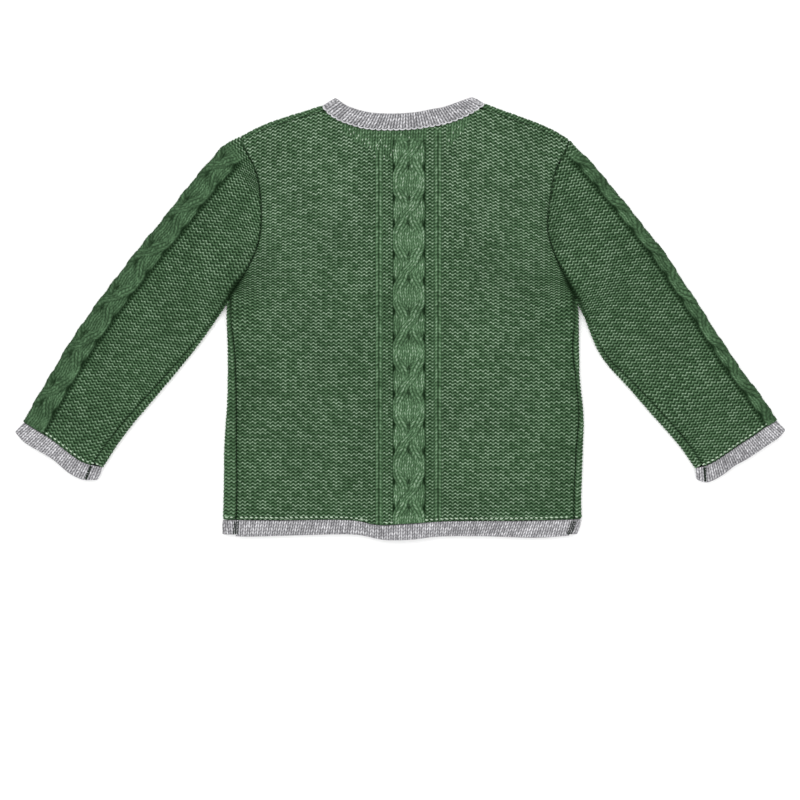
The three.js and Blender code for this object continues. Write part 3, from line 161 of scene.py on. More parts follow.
def smooth(low, high, value):
    t = np.clip((value - low) / (high - low), 0, 1)
    return t * t * (3 - 2 * t)


def mix(a, b, t):
    return a + (b - a) * t


def unit(vectors):
    return vectors / np.maximum(np.linalg.norm(vectors, axis=-1, keepdims=True), 1e-9)


def rounded(knots, per_span=24):
    """Dense points of a centripetal curve through the knots."""
    knots = np.asarray(knots, float)
    points = np.vstack([2 * knots[0] - knots[1], knots, 2 * knots[-1] - knots[-2]])
    t = np.linspace(0, 1, per_span, endpoint=False)[:, None]
    dense = []
    for a, b, c, d in zip(points, points[1:], points[2:], points[3:]):
        ab, bc, cd = (np.sqrt(np.linalg.norm(q - p)) for p, q in ((a, b), (b, c), (c, d)))
        leave = ((b - a) / ab - (c - a) / (ab + bc) + (c - b) / bc) * bc
        reach = ((c - b) / bc - (d - b) / (bc + cd) + (d - c) / cd) * bc
        dense.append(b + t * leave + t**2 * (3 * (c - b) - 2 * leave - reach)
                     + t**3 * (2 * (b - c) + leave + reach))
    return np.vstack([*dense, knots[-1:]])


class Line:
    """A plan curve, read by its length and running straight on past its ends."""

    def __init__(self, points):
        self.points = np.asarray(points, float)
        steps = np.linalg.norm(np.diff(self.points, axis=0), axis=1)
        self.lengths = np.concatenate([[0.0], np.cumsum(steps)])
        self.length = self.lengths[-1]
        self.first = unit(self.points[1] - self.points[0])
        self.last = unit(self.points[-1] - self.points[-2])

    def at(self, distance):
        distance = np.asarray(distance, float)
        inside = np.stack([np.interp(distance, self.lengths, self.points[:, k]) for k in (0, 1)], -1)
        before = np.minimum(distance, 0)[..., None] * self.first
        after = np.maximum(distance - self.length, 0)[..., None] * self.last
        return inside + before + after

    def right(self, distance, reach=1.0):
        """The direction to the right of the way, evened over a reach to both sides."""
        way = unit(self.at(distance + reach) - self.at(distance - reach))
        return np.stack([way[..., 1], -way[..., 0]], -1)

    def x_at(self, y):
        order = np.argsort(self.points[:, 1])
        return np.interp(y, self.points[order, 1], self.points[order, 0])

    def y_at(self, x):
        order = np.argsort(self.points[:, 0])
        return np.interp(x, self.points[order, 0], self.points[order, 1])

    def distance(self, x, y):
        """Least distance from plan points to the curve, on every third of its points."""
        line = np.vstack([self.points[::3], self.points[-1:]])
        least = np.full(np.shape(x), np.inf)
        for (ax, ay), (bx, by) in zip(line[:-1], line[1:]):
            span = max((bx - ax) ** 2 + (by - ay) ** 2, 1e-9)
            t = np.clip(((x - ax) * (bx - ax) + (y - ay) * (by - ay)) / span, 0, 1)
            np.minimum(least, np.hypot(x - ax - (bx - ax) * t, y - ay - (by - ay) * t), out=least)
        return least


for half in HALVES:
    half["lines"] = {name: Line(rounded(half[name])) for name in (
        "armhole", "shoulder", "sleeveTop", "sleeveUnder", "cuffSeam", "cuffEnd",
        "neckSeam", "neckEdge", "frontNeckSeam", "frontNeckEdge")}
    side = rounded([(edge, y) for y, edge, _ in half["side"]])
    half["lines"]["side"] = Line(side[side[:, 1] >= -178])
    inset = rounded([(inset, y) for y, _, inset in half["side"]])
    half["lines"]["inset"] = Line(inset)
    half["armpit"] = np.array(half["armhole"][-1])

HEM_SEAM_LINE = Line(rounded(HEM_SEAM))
HEM_EDGE_LINE = Line(rounded(HEM_EDGE))


def edge_x(half, y):
    return half["lines"]["side"].x_at(y)


def seam_inset(half, y):
    return half["lines"]["inset"].x_at(y)


def hem_seam_y(x):
    return HEM_SEAM_LINE.y_at(x)


def hem_edge_y(x):
    return HEM_EDGE_LINE.y_at(x)


for half in HALVES:
    half["frontHemY"] = float(hem_seam_y(edge_x(half, HEM_SEAM_Y)))
    half["frontHemEdgeY"] = float(hem_edge_y(edge_x(half, HEM_EDGE_Y))) + 0.4
    half["hemInset"] = float(seam_inset(half, (HEM_SEAM_Y + HEM_EDGE_Y) / 2))


def fold_height(distance):
    """Height of the upper skin at a distance from its nearest fold."""
    inset = np.clip(FOLD_RADIUS - distance, 0, FOLD_RADIUS)
    bend = FOLD_RADIUS + np.sqrt(np.maximum(0, FOLD_RADIUS**2 - inset**2))
    sink = smooth(FOLD_RADIUS, FOLD_RADIUS + FOLD_SETTLE, distance)
    return np.where(distance < FOLD_RADIUS, bend, 2 * FOLD_RADIUS - (2 * FOLD_RADIUS - LAYER_TOP) * sink)


def crease_height(x, y):
    height = np.zeros(np.shape(x))
    for ax, ay, bx, by, width, top in CREASES:
        length = np.hypot(bx - ax, by - ay)
        along = ((x - ax) * (bx - ax) + (y - ay) * (by - ay)) / length**2
        across = np.abs((x - ax) * (by - ay) - (y - ay) * (bx - ax)) / length
        ends = smooth(-0.35, 0.3, along) * (1 - smooth(0.7, 1.35, along))
        height += top * ends * np.exp(-((across / width) ** 2) * 2)
    return height


def body_top(x, y):
    """Height of the body's upper skin, without its stitches."""
    distance = np.full(np.shape(x), np.inf)
    for half in HALVES:
        for name in ("side", "shoulder"):
            distance = np.minimum(distance, half["lines"][name].distance(x, y))
    over_bands = 1 - smooth(BAND_HALF_WIDTH + 2, BANDS_SETTLE, np.abs(x - FRONT_CENTRE))
    lift = (BACK_OVER_BANDS - LAYER_TOP) * over_bands * (1 - smooth(NECK_LIFT_END, NECK_LIFT_END + 24, y))
    calm = smooth(2, 12, distance)
    return fold_height(distance) + np.maximum(lift, crease_height(x, y) * calm)


def front_rise(half, x):
    """How far a front rises near the middle: the right one lies on the button band."""
    rise = 2.9 if half is RIGHT else 0.0
    start = FRONT_CENTRE + BAND_HALF_WIDTH + 2
    return rise * (1 - smooth(start, FRONT_CENTRE + 30, x))


# Stitches. A relief is a height in mm, and a tone runs from 0 in a hole to 1 on a strand: it is painted
# shade and light, dark in a hole and lit on a strand, with the yarn's own random unevenness.
UNEVEN = RANDOM.uniform(-1.5, 1.5, (256, 256))


def stitch_noise(c, r, amount):
    """An uneven value for each stitch, the same wherever two pieces meet."""
    return amount * UNEVEN[np.floor(r).astype(int) % 256, np.floor(c).astype(int) % 256]


def bell(value, width):
    return np.exp(-((value / width) ** 2))


def purl(c, r):
    """Reverse stockinette at column c and row r: ridges, with two holes under each stitch. Its tone is
    painted shade, dark in the holes and lit on the ridges.
    """
    ridge = 0.5 - 0.5 * np.cos(2 * np.pi * r)
    swing = 0.5 + 0.5 * np.cos(4 * np.pi * c)
    low = 0.5 - 0.5 * np.cos(2 * np.pi * c)
    loose = stitch_noise(c + 0.25, r, 1.0)
    bridge = 0.42 * np.maximum(1 - swing, 0.75 * low**2)
    crest = ridge**0.9 * (0.84 + 0.16 * swing) * (1 + 0.1 * loose)
    height = PURL_RELIEF * np.maximum(crest, bridge)
    # Painted shade: dark in the holes and between the ridges, lit on their tops; loose is the random
    # unevenness of the yarn
    tone_and_shade = ridge**3.4 * (0.5 + 0.5 * swing) + (1 - ridge) * 0.5 * bridge
    tone_and_shade = tone_and_shade * (1 - 0.5 * (1 - low) * (1 - ridge))
    return height, np.maximum(0, tone_and_shade * (1 + 0.22 * loose))


def stretched(x, y):
    """Share of the loose, upright stitches below the neckband."""
    left = smooth(-48, -44, x) * smooth(2, -3, x) * smooth(-2, 2, y - 153 + (x + 47) * 0.6)
    middle = smooth(-3, 1, x) * smooth(24, 20, x) * smooth(144, 149, y)
    right = smooth(36, 41, x) * smooth(60, 56, x) * smooth(-3, 3, y - 162 + (58 - x) * 1.2)
    return np.maximum(np.maximum(left, middle), right)


def with_stretched(x, y, height, tone_and_shade):
    share = stretched(x, y) * 0.8
    leg, shade = legs(x / 4.4 - y / 60, y / ROW_PITCH)
    return mix(height, 0.75 * leg, share), mix(tone_and_shade, 0.62 * shade, share)


def purl_wave(c):
    """How far a row is moved along the wales at column c."""
    return ROW_PITCH * ROW_WAVE * np.cos(2 * np.pi * c)


def legs(v, r, sharp=1.8, low=0.15):
    """Stockinette: two slanting legs in each stitch of width 1, at v across and r along. Its tone is
    painted shade, dark between the legs.
    """
    across = v % 1
    leg = np.abs(np.sin(2 * np.pi * across)) ** 0.8
    slant = np.abs(across - 0.5) * 2
    stitch = np.sin(np.pi * ((r - 0.9 * slant) % 1))
    # Painted shade: dark between the legs and lit on them, with random unevenness
    middle = 0.15 * bell(across - 0.5, 0.12)
    tone_and_shade = np.maximum(leg**sharp * mix(low, 1, stitch), middle)
    uneven = stitch_noise(2 * v, r - 0.9 * slant, 0.28)
    return leg * (0.5 + 0.5 * stitch), tone_and_shade * (1 + uneven)


def cable_legs(v, r):
    """The wide, soft legs of a cable's stitches."""
    return legs(0.85 * v, r, sharp=1.25, low=0.26)


def strand(s, column, row, lift, low, gain):
    """A round strand at s across it, in half widths: its height and its tone, with painted shade towards
    its sides.
    """
    dome = np.sqrt(np.clip(1 - np.abs(s) ** 3, 0, 1))
    leg, shade = cable_legs(column, row)
    return dome * (lift + LEG_RELIEF * leg), (low + gain * shade) * (0.4 + 0.6 * dome**0.6)


def cable(across, along):
    """An O and X cable from the middle of an O: two front strands that weave over a bed of two others. Its
    tone holds painted shade and painted highlights.
    """
    swing = np.cos(2 * np.pi * along / CABLE_PERIOD)
    turn = swing * (1.35 - 0.35 * swing**2)
    cross = 1 - swing**2
    off = np.abs(across) / CABLE_STITCH
    row = along / ROW_PITCH
    # The bed: the strands that lie behind
    width = 4.02 - 0.4 * cross**6
    bed = np.sqrt(np.clip(1 - (off / width) ** 12, 0, 1))
    leg, shade = cable_legs(across / CABLE_STITCH + 0.14 * np.sin(along / 2.3), row)
    height = bed * (1.5 - 0.4 * cross + LEG_RELIEF * leg)
    # Painted shade at the bed's borders and in each crossing, and a painted highlight on the outer legs
    # beside each X
    side_leg = bell(off - 3.5, 0.32) * smooth(0, 0.8, -swing)
    tone_and_shade = (0.06 + 0.94 * bed) * (0.12 + 0.95 * shade) * (1 - 0.1 * cross) * (1 + 0.4 * side_leg)
    # The front strands, widest where they cross
    s = (off - (2 + turn - 0.2 * cross)) / (1.03 + 0.65 * cross)
    front, shade = strand(s, s + 12 * (across > 0), row + 0.5, 1.45 + 0.7 * cross, 0.08, 0.88)
    # A painted highlight on the front strands' outer sides round each O, and a painted shadow on the bed
    # along the front strands' edges
    shade = shade * (1 + 0.2 * bell(s - 0.55, 0.3) * smooth(0.1, 0.9, swing))
    tone_and_shade = tone_and_shade * (1 - 0.55 * bell(np.abs(s) - 1.08, 0.13) * cross)
    tone_and_shade = np.where(front > height, shade, tone_and_shade)
    height = np.maximum(front, height)
    # In each X, one strand lies over the other
    rise = along % CABLE_PERIOD - CABLE_PERIOD / 2
    near = smooth(0.1, 0.6, bell(rise, 9.0))
    s = (across / CABLE_STITCH - 1.7 * np.tanh(rise / 5.5)) / 1.2
    upper, shade = strand(s, s + 0.3, row, 2.1, 0.1, 0.95)
    # A painted shadow on the strands beside the one that lies on top
    tone_and_shade = tone_and_shade * (1 - 0.6 * near * bell(np.abs(s) - 1.1, 0.16))
    tone_and_shade = np.where(near * upper > height, shade, tone_and_shade)
    height = np.maximum(near * upper, height)
    # Small holes inside and notches outside each crossing, darkened with painted shade
    reach = (swing + 0.15) * CABLE_PERIOD / (2 * np.pi)
    hole = bell(across / CABLE_STITCH + 0.1, 0.34) * bell(reach, 1.9)
    notch = bell(off - 3.8, 0.38) * bell(reach + 1.2, 2.4)
    open_share = np.maximum(hole, notch)
    return height * (1 - 0.75 * open_share), CABLE_SHADE * tone_and_shade * (1 - 0.85 * open_share)


def cable_share(across):
    """Share of a cable against the ground beside it."""
    return 1 - smooth(CABLE_EDGE - 0.2, CABLE_EDGE + 1.2, np.abs(across))


def rib(across, along):
    """One knit wale: two smooth legs, with painted shade in its middle and at its sides."""
    row = along / ROW_PITCH
    later = row + 0.25
    side = np.sign(across) + 3.0
    sway = 0.22 * np.sin(2 * np.pi * row) + stitch_noise(side, row, 0.1)
    leg = bell(np.abs(across) + sway - 1.55, 0.95)
    stitch = 0.72 + 0.28 * np.sin(2 * np.pi * later) + stitch_noise(side, later, 0.16)
    return RIB_RELIEF * (0.25 + 0.75 * leg), 0.03 + 0.62 * leg * stitch


# Meshes
def add_object(name, data):
    made = bpy.data.objects.new(name, data)
    bpy.context.scene.collection.objects.link(made)
    return made


class Shell:
    """Grids of points that become one mesh. A tone goes with each point: painted shade and light, with the
    yarn's own unevenness.
    """

    def __init__(self):
        self.points = []
        self.tones_and_shades = []
        self.knits = []
        self.quads = []
        self.count = 0

    def grid(self, points, tone_and_shade, closed=False, flipped=False, knit=(0.0, 0.0, 0.0)):
        """Faces between the points of a grid of rows. Closed joins the last row to the first. On
        plain cloth, knit is its column, its row and the share of stitches that the material draws."""
        rows, columns = points.shape[:2]
        drawn = np.stack([np.broadcast_to(value, (rows, columns)) for value in knit], -1)
        self.knits.append(drawn.reshape(-1, 3))
        index = self.count + np.arange(rows * columns).reshape(rows, columns)
        if closed:
            index = np.vstack([index, index[:1]])
        corners = [index[:-1, :-1], index[:-1, 1:], index[1:, 1:], index[1:, :-1]]
        if flipped:
            corners.reverse()
        self.quads.append(np.stack(corners, -1).reshape(-1, 4))
        self.points.append(points.reshape(-1, 3))
        self.tones_and_shades.append(np.broadcast_to(tone_and_shade, (rows, columns)).reshape(-1))
        self.count += rows * columns

    def build(self, name, material):
        """Welds points that coincide, drops collapsed faces and makes the object."""
        points = np.vstack(self.points)
        tones_and_shades = np.concatenate(self.tones_and_shades)
        keys = np.round(points / 0.02).astype(np.int64)
        _, first, where = np.unique(keys, axis=0, return_index=True, return_inverse=True)
        faces = where.reshape(-1)[np.vstack(self.quads)]
        faces = faces[(faces[:, 0] != faces[:, 2]) & (faces[:, 1] != faces[:, 3])]
        same = faces == np.roll(faces, -1, axis=1)
        keep = same.sum(1) <= 1
        faces, same = faces[keep], same[keep]
        sizes = 4 - same.sum(1)
        loops = faces[~same]
        mesh = bpy.data.meshes.new(name)
        mesh.vertices.add(len(first))
        mesh.vertices.foreach_set("co", (points[first] * MM).astype(np.float32).ravel())
        mesh.loops.add(len(loops))
        mesh.loops.foreach_set("vertex_index", loops.astype(np.int32))
        mesh.polygons.add(len(sizes))
        starts = np.concatenate([[0], np.cumsum(sizes)[:-1]]).astype(np.int32)
        mesh.polygons.foreach_set("loop_start", starts)
        mesh.update(calc_edges=True)
        mesh.validate()
        mesh.polygons.foreach_set("use_smooth", np.ones(len(mesh.polygons), bool))
        # The stitches' painted light and shade, with the yarn's own unevenness, for the material's colour
        # ramp
        attribute = mesh.attributes.new("tone_and_shade", "FLOAT", "POINT")
        attribute.data.foreach_set("value", tones_and_shades[first].astype(np.float32))
        attribute = mesh.attributes.new("knit", "FLOAT_VECTOR", "POINT")
        attribute.data.foreach_set("vector", np.vstack(self.knits)[first].astype(np.float32).ravel())
        mesh.materials.append(material)
        made = add_object(name, mesh)
        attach(made, "root")
        return made


# Materials
class Graph:
    """A material's nodes. Inputs are numbers, or sockets of other nodes."""

    def __init__(self, name, **inputs):
        self.material = bpy.data.materials.new(name)
        self.material.use_nodes = True
        self.tree = self.material.node_tree
        self.fill(self.tree.nodes["Principled BSDF"], inputs)
        self.place = self.add("TexCoord", {}).outputs["Object"]

    def fill(self, node, inputs):
        for name, value in inputs.items():
            if isinstance(value, bpy.types.NodeSocket):
                self.tree.links.new(value, node.inputs[name])
            else:
                node.inputs[name].default_value = value

    def add(self, kind, inputs, **settings):
        node = self.tree.nodes.new(f"ShaderNode{kind}")
        for name, value in settings.items():
            setattr(node, name, value)
        self.fill(node, inputs)
        return node

    def noise(self, scale, detail=2.0, roughness=0.5):
        inputs = {"Vector": self.place, "Scale": scale, "Detail": detail, "Roughness": roughness}
        return self.add("TexNoise", inputs).outputs["Fac"]

    def spread(self, value, low, high, to_low, to_high):
        inputs = {"Value": value, "From Min": low, "From Max": high, "To Min": to_low, "To Max": to_high}
        return self.add("MapRange", inputs).outputs["Result"]

    def calc(self, operation, *values):
        return self.add("Math", dict(enumerate(values)), operation=operation).outputs["Value"]

    def tint(self, colour, shade):
        """A colour, darkened or lightened by a shade round 1."""
        inputs = {"Factor": 1.0, 6: colour, 7: shade}
        return self.add("Mix", inputs, data_type="RGBA", blend_type="MULTIPLY").outputs[2]

    def ramp(self, share, colours):
        """A ramp over places from 0 to 1. The first two colours are those of its ends."""
        node = self.add("ValToRGB", {"Fac": share})
        stops = node.color_ramp.elements
        for number, (place, colour) in enumerate(colours):
            stop = stops[number] if number < 2 else stops.new(place)
            stop.color = (*colour, 1)
        return node.outputs["Color"]

    def surface(self, colour, strength, distance, height, **inputs):
        """The material, with its colour and with a bump from the height."""
        bump = self.add("Bump", {"Strength": strength, "Distance": distance, "Height": height})
        inputs = {"Base Color": colour, "Normal": bump.outputs["Normal"], **inputs}
        self.fill(self.tree.nodes["Principled BSDF"], inputs)
        return self.material


def knit_material(name, in_shade, middle, light, sheen, fleck, fleck_scale, bump):
    """Yarn: painted shade between the strands and painted light on them, read from the tone, with flecks,
    fuzz and a soft sheen.
    """
    graph = Graph(name, **{
        "Roughness": 0.92, "Specular IOR Level": 0.06,
        "Sheen Weight": sheen, "Sheen Roughness": 0.55, "Sheen Tint": (*light, 1)})
    calc = graph.calc
    tone_and_shade = graph.add("Attribute", {}, attribute_name="tone_and_shade").outputs["Fac"]
    # Plain cloth has its rows drawn here, with painted shade between them
    knit = graph.add("Attribute", {}, attribute_name="knit").outputs["Vector"]
    column, row, share = graph.add("SeparateXYZ", {"Vector": knit}).outputs
    wave = calc("MULTIPLY", calc("COSINE", calc("MULTIPLY", column, 2 * np.pi)), ROW_WAVE)
    turn = calc("MULTIPLY", calc("SUBTRACT", row, wave), 2 * np.pi)
    ridge = calc("POWER", calc("MULTIPLY_ADD", calc("COSINE", turn), -0.5, 0.5), 2.0)
    tone_and_shade = calc("MULTIPLY_ADD", calc("SUBTRACT", calc("MULTIPLY", ridge, 0.8), tone_and_shade), share, tone_and_shade)
    # The ramp runs from the painted shade of the holes to the lit strands, brighter still at its end
    bright = [1.25 * part for part in light]
    colour = graph.ramp(calc("MULTIPLY", tone_and_shade, 0.8), [(0, in_shade), (1, bright), (0.36, middle), (0.8, light)])
    colour = graph.tint(colour, graph.spread(graph.noise(22, 3), 0.3, 0.7, 0.9, 1.1))
    flecks = graph.spread(graph.noise(fleck_scale, 3, 0.7), 0.25, 0.75, 1 - fleck, 1 + fleck)
    return graph.surface(graph.tint(colour, flecks), bump, 0.0004, graph.noise(2600, 4, 0.75))


# The first colour of each yarn is the painted shade in its holes, the third its lit strands
GREEN = knit_material(
    "green_knit", (0.0015, 0.01, 0.0015), (0.079, 0.153, 0.077), (0.315, 0.4, 0.305), 0.04, 0.2, 900, 0.5)
GREY = knit_material(
    "grey_trim", (0.045, 0.045, 0.048), (0.31, 0.307, 0.32), (0.58, 0.575, 0.595), 0.06, 0.24, 700, 0.5)
MINT = knit_material(
    "mint_thread", (0.2, 0.28, 0.2), (0.3, 0.39, 0.29), (0.42, 0.52, 0.4), 0.08, 0.08, 1200, 0.3)
LIGHT_GREY = knit_material(
    "light_grey_thread", (0.2, 0.2, 0.21), (0.32, 0.32, 0.33), (0.5, 0.5, 0.515), 0.08, 0.14, 900, 0.4)
DARK_THREAD = knit_material(
    "dark_thread", (0.003, 0.005, 0.0035), (0.007, 0.012, 0.008), (0.014, 0.024, 0.016),
    0.04, 0.14, 900, 0.4)


def horn_material():
    """Dark horn: cloudy, streaked and polished."""
    graph = Graph("horn", **{"Specular IOR Level": 0.5})
    streaks = graph.add("TexWave", {
        "Vector": graph.place, "Scale": 190.0, "Distortion": 9.0, "Detail": 3.0, "Detail Scale": 0.7})
    streaks = streaks.outputs["Fac"]
    colour = graph.ramp(
        streaks, [(0, (0.03, 0.016, 0.009)), (1, (0.34, 0.2, 0.1)), (0.55, (0.12, 0.065, 0.033))])
    gloss = graph.spread(graph.noise(420), 0.0, 1.0, 0.26, 0.5)
    return graph.surface(colour, 0.25, 0.0002, streaks, Roughness=gloss)


HORN = horn_material()
FLOOR = Graph("floor", **{
    "Base Color": (0.97, 0.97, 0.97, 1), "Roughness": 1.0, "Specular IOR Level": 0.0}).material

EDGE_ROUND = 1.1                # over which cloth turns down into a seam
EDGE_DIP = 0.9
# SEAM_SHADE: the painted shade where cloth turns down into a seam
SEAM_SHADE = 0.7
ARMPIT_REACH = 19.0             # seams are deepest this near to an armpit
SHOULDER_FLAT = 0.9             # the shoulder seams are sewn flat and hardly show
HEM_FLAT = 0.7                  # and so are those of the hem and the cuffs


def seam_edge(border, x, y):
    """Share of relief, dip and painted shade of cloth near a seam. Seams are deepest at the armpits, and
    their painted shade darkest and widest there.
    """
    deep = np.zeros(np.shape(x))
    for half in HALVES:
        place = half["armpit"] + np.array([-half["sign"] * 5.0, 8.0])
        deep = np.maximum(deep, bell(np.hypot(x - place[0], y - place[1]), ARMPIT_REACH))
    reach = EDGE_ROUND * (1 + 2.2 * deep)
    held = smooth(0, reach, border)
    dip = EDGE_DIP * (1 + 1.6 * deep) * (1 - held)
    # Painted shade in the seam's trough, darker and wider round the armpits
    shade = mix(SEAM_SHADE * (1 - 0.9 * deep), 1, smooth(0, reach * 1.3, border))
    return held, dip, shade * (1 - 0.25 * deep * (1 - smooth(0, 14, border)))


def strip_border(value):
    """A straight border, for inside_limits."""
    return lambda at: np.full(np.shape(at), value)


def inside_limits(x, y, left, right, low, high, flat_seam=None):
    """Plan points held inside a region, with their distance to its border.
    Where flat_seam(x) isn't 0, the upper border counts as that much further off."""
    x = np.clip(x, left(y), right(y))
    y = np.clip(y, low(x), high(x))
    x = np.clip(x, left(y), right(y))
    top = high(x) - y + (flat_seam(x) if flat_seam else 0)
    border = np.minimum.reduce([x - left(y), right(y) - x, y - low(x) + HEM_FLAT, top])
    return x, y, np.maximum(border, 0)


def shoulder_flat(x):
    outside = np.maximum(LEFT["neckSeam"][0][0] - x, x - RIGHT["neckSeam"][0][0])
    return SHOULDER_FLAT * smooth(-2, 4, outside)


def back_side(half, y):
    """The back's outer border on one half, at the side seam and the armhole seam."""
    seam = edge_x(half, y) - half["sign"] * (seam_inset(half, y) + HALF_GAP)
    armhole = half["lines"]["armhole"].x_at(y) - half["sign"] * LINE_GAP
    above = smooth(half["armpit"][1] - 1, half["armpit"][1] + 9, y)
    return mix(seam, armhole, above)


def back_top(x):
    """The back's upper border, at the shoulder seams and the neck seam."""
    necks = [half["lines"]["neckSeam"].y_at(x) for half in HALVES]
    height = np.where(x < 0, *necks) - LINE_GAP
    for half in HALVES:
        line = half["lines"]["shoulder"]
        outside = half["sign"] * (x - line.points[0, 0]) > -4
        height = np.where(outside, np.minimum(height, line.y_at(x) - SHOULDER_SEAM_INSET - 0.25), height)
    return height


def back_low(x):
    return hem_seam_y(x) + HALF_GAP


def end_border(x, y):
    """Distance from the back's lower and upper ends."""
    return np.minimum(y - back_low(x) + HEM_FLAT, back_top(x) - y)


def row_slope(x, y):
    """How far the back's rows are moved up or down: they follow the shoulders and rise to the armpits."""
    out = np.maximum(0, np.abs(x - 3) - 30)
    drop = -0.3 * smooth(-30, 150, y) * out**2 / (out + 15)
    for half in HALVES:
        away = np.hypot(x - half["armpit"][0], y - half["armpit"][1])
        drop = drop + 8 * bell(away, 22)
    return drop


BACK_ORIGIN_Y = -166.0
BACK_ROWS = 126
UNDERLAP = 1.4                  # how far the ground goes on under the centre strip


def row_sway(x, y):
    """Small unevenness of the rows, the same on all of the back."""
    return 0.5 * np.sin(x / 23) + 0.35 * np.sin(x / 9 + y / 40)


def back_light_and_shade(x, y):
    """Painted light and shade: lighter towards the shoulders and darker along the sides."""
    side = np.minimum(x - edge_x(LEFT, y), edge_x(RIGHT, y) - x)
    return 1 + 0.1 * smooth(30, 100, y) - 0.14 * bell(side, 32) * smooth(70, 20, y)


def lay_back(name, x, y, border, height, tone_and_shade, sunk=0.0):
    """A piece of the back: its stitches on the body, which go down into the seams."""
    held, dip, shade = seam_edge(border, x, y)
    z = body_top(x, y) + height * held - dip - sunk
    shell = Shell()
    # Painted shade at the seams, and painted light and shade over the back
    shell.grid(np.stack([x, y, z], -1), tone_and_shade * shade * back_light_and_shade(x, y))
    return shell.build(name, GREEN)


def make_back_ground(name, left, right):
    """A stretch of the back's ground between two borders in x."""
    levels = (-160, -60, 15)
    start = min(left(y) for y in levels) - 2
    end = max(right(y) for y in levels) + 2
    c = np.arange(np.floor(start / STITCH_WIDTH), np.ceil(end / STITCH_WIDTH), 1 / COLUMNS_PER_STITCH)
    r = np.arange(-2, BACK_ROWS, 1 / LINES_PER_ROW)
    c, r = np.meshgrid(c, r)
    height, tone_and_shade = purl(c, r)
    x = c * STITCH_WIDTH
    y = BACK_ORIGIN_Y + r * ROW_PITCH + purl_wave(c)
    y += row_slope(x, y) + row_sway(x, y)
    x, y, border = inside_limits(x, y, left, right, back_low, back_top, shoulder_flat)
    inside_strip = np.minimum(x - STRIP["left"], STRIP["right"] - x)
    to_strip = np.abs(inside_strip)
    border = np.where(to_strip < UNDERLAP + 0.01, end_border(x, y), border)
    height, tone_and_shade = with_stretched(x, y, height, tone_and_shade)
    return lay_back(name, x, y, border, height, tone_and_shade, 0.5 * smooth(-0.3, 0.3, inside_strip))


def make_back_centre():
    """The strip with the cable and the two ribs, in a finer grid."""
    x = np.arange(STRIP["left"], STRIP["right"] + STRIP_STEP / 2, STRIP_STEP)
    y = np.arange(-172, 158, STRIP_STEP * 1.25)
    x, y = np.meshgrid(x, y)
    c = x / STITCH_WIDTH
    r = (y - BACK_ORIGIN_Y - purl_wave(c) - row_sway(x, y)) / ROW_PITCH
    height, tone_and_shade = with_stretched(x, y, *purl(c, r))

    def put(share, start, end, stitches):
        """Stitches in place of the ground, which run out between two heights."""
        share = share * (1 - smooth(start, end, y))
        return mix(height, stitches[0], share), mix(tone_and_shade, stitches[1], share)

    for place in RIBS:
        off = x - place["x"]
        share = 1 - smooth(RIB_HALF_WIDTH, RIB_HALF_WIDTH + 0.8, np.abs(off))
        height, tone_and_shade = put(share, place["start"] - 8, place["start"], rib(off, y))
    across = x - BACK_CABLE["x"]
    end = BACK_CABLE["start"]
    height, tone_and_shade = put(cable_share(across), end - 6, end + 5, cable(across, y - BACK_CABLE["ring"]))
    x, y, _ = inside_limits(
        x, y, strip_border(STRIP["left"]), strip_border(STRIP["right"]), back_low, back_top)
    return lay_back("back_centre", x, y, end_border(x, y), height, tone_and_shade)


def fold_direction(half, share):
    """Direction in which cloth leaves the shoulder fold, from the neck to the armhole."""
    share = np.asarray(share)[..., None]
    return unit(mix(np.array(half["neckFold"]), np.array(half["armholeFold"]), share))


def fold_inset(length):
    """How far inside a fold's outermost line a length over the fold comes."""
    angle = np.clip(length, -HALF_FOLD, HALF_FOLD) / FOLD_RADIUS
    return FOLD_RADIUS * (1 - np.cos(angle)) + np.maximum(np.abs(length) - HALF_FOLD, 0)


def over_fold(start, inward, length, top):
    """Points and normals of cloth at a length over a fold, from its outermost line at start."""
    angle = np.clip(length, -HALF_FOLD, HALF_FOLD) / FOLD_RADIUS
    plan = start + inward * fold_inset(length)[..., None]
    z = np.where(length > HALF_FOLD, top(plan[..., 0], plan[..., 1]), FOLD_RADIUS * (1 + np.sin(angle)))
    points = np.concatenate([plan, z[..., None]], -1)
    normals = np.concatenate([-inward * np.cos(angle)[..., None], np.sin(angle)[..., None]], -1)
    return points, unit(normals)


def length_at(inset):
    """Length over a fold at which an inset on the upper layer is reached."""
    bend = FOLD_RADIUS * np.arccos(1 - np.minimum(inset, FOLD_RADIUS) / FOLD_RADIUS)
    return np.where(inset >= FOLD_RADIUS, HALF_FOLD + inset - FOLD_RADIUS, bend)


UNDER_REACH = 5.0               # how far the stitches go on under a fold
UNDER_START = -HALF_FOLD - UNDER_REACH
UNDER_INSET = FOLD_RADIUS + UNDER_REACH
PLAIN_TONE = 0.34
SHOULDER_SLANT = np.radians(27)


def lay_over_fold(shell, cloth, stitches, seam, length, flipped):
    """Adds stitches at lengths over a fold, which fade out under it and go down into the seam."""
    points, normals = cloth
    height, tone_and_shade = stitches
    held, dip, shade = seam
    lift = height * held * smooth(UNDER_START, -HALF_FOLD, length) - dip * (length > 0)
    points = points + normals * lift[..., None]
    points[..., 2] = np.maximum(points[..., 2], 0)
    shell.grid(points, tone_and_shade * shade, flipped=flipped)


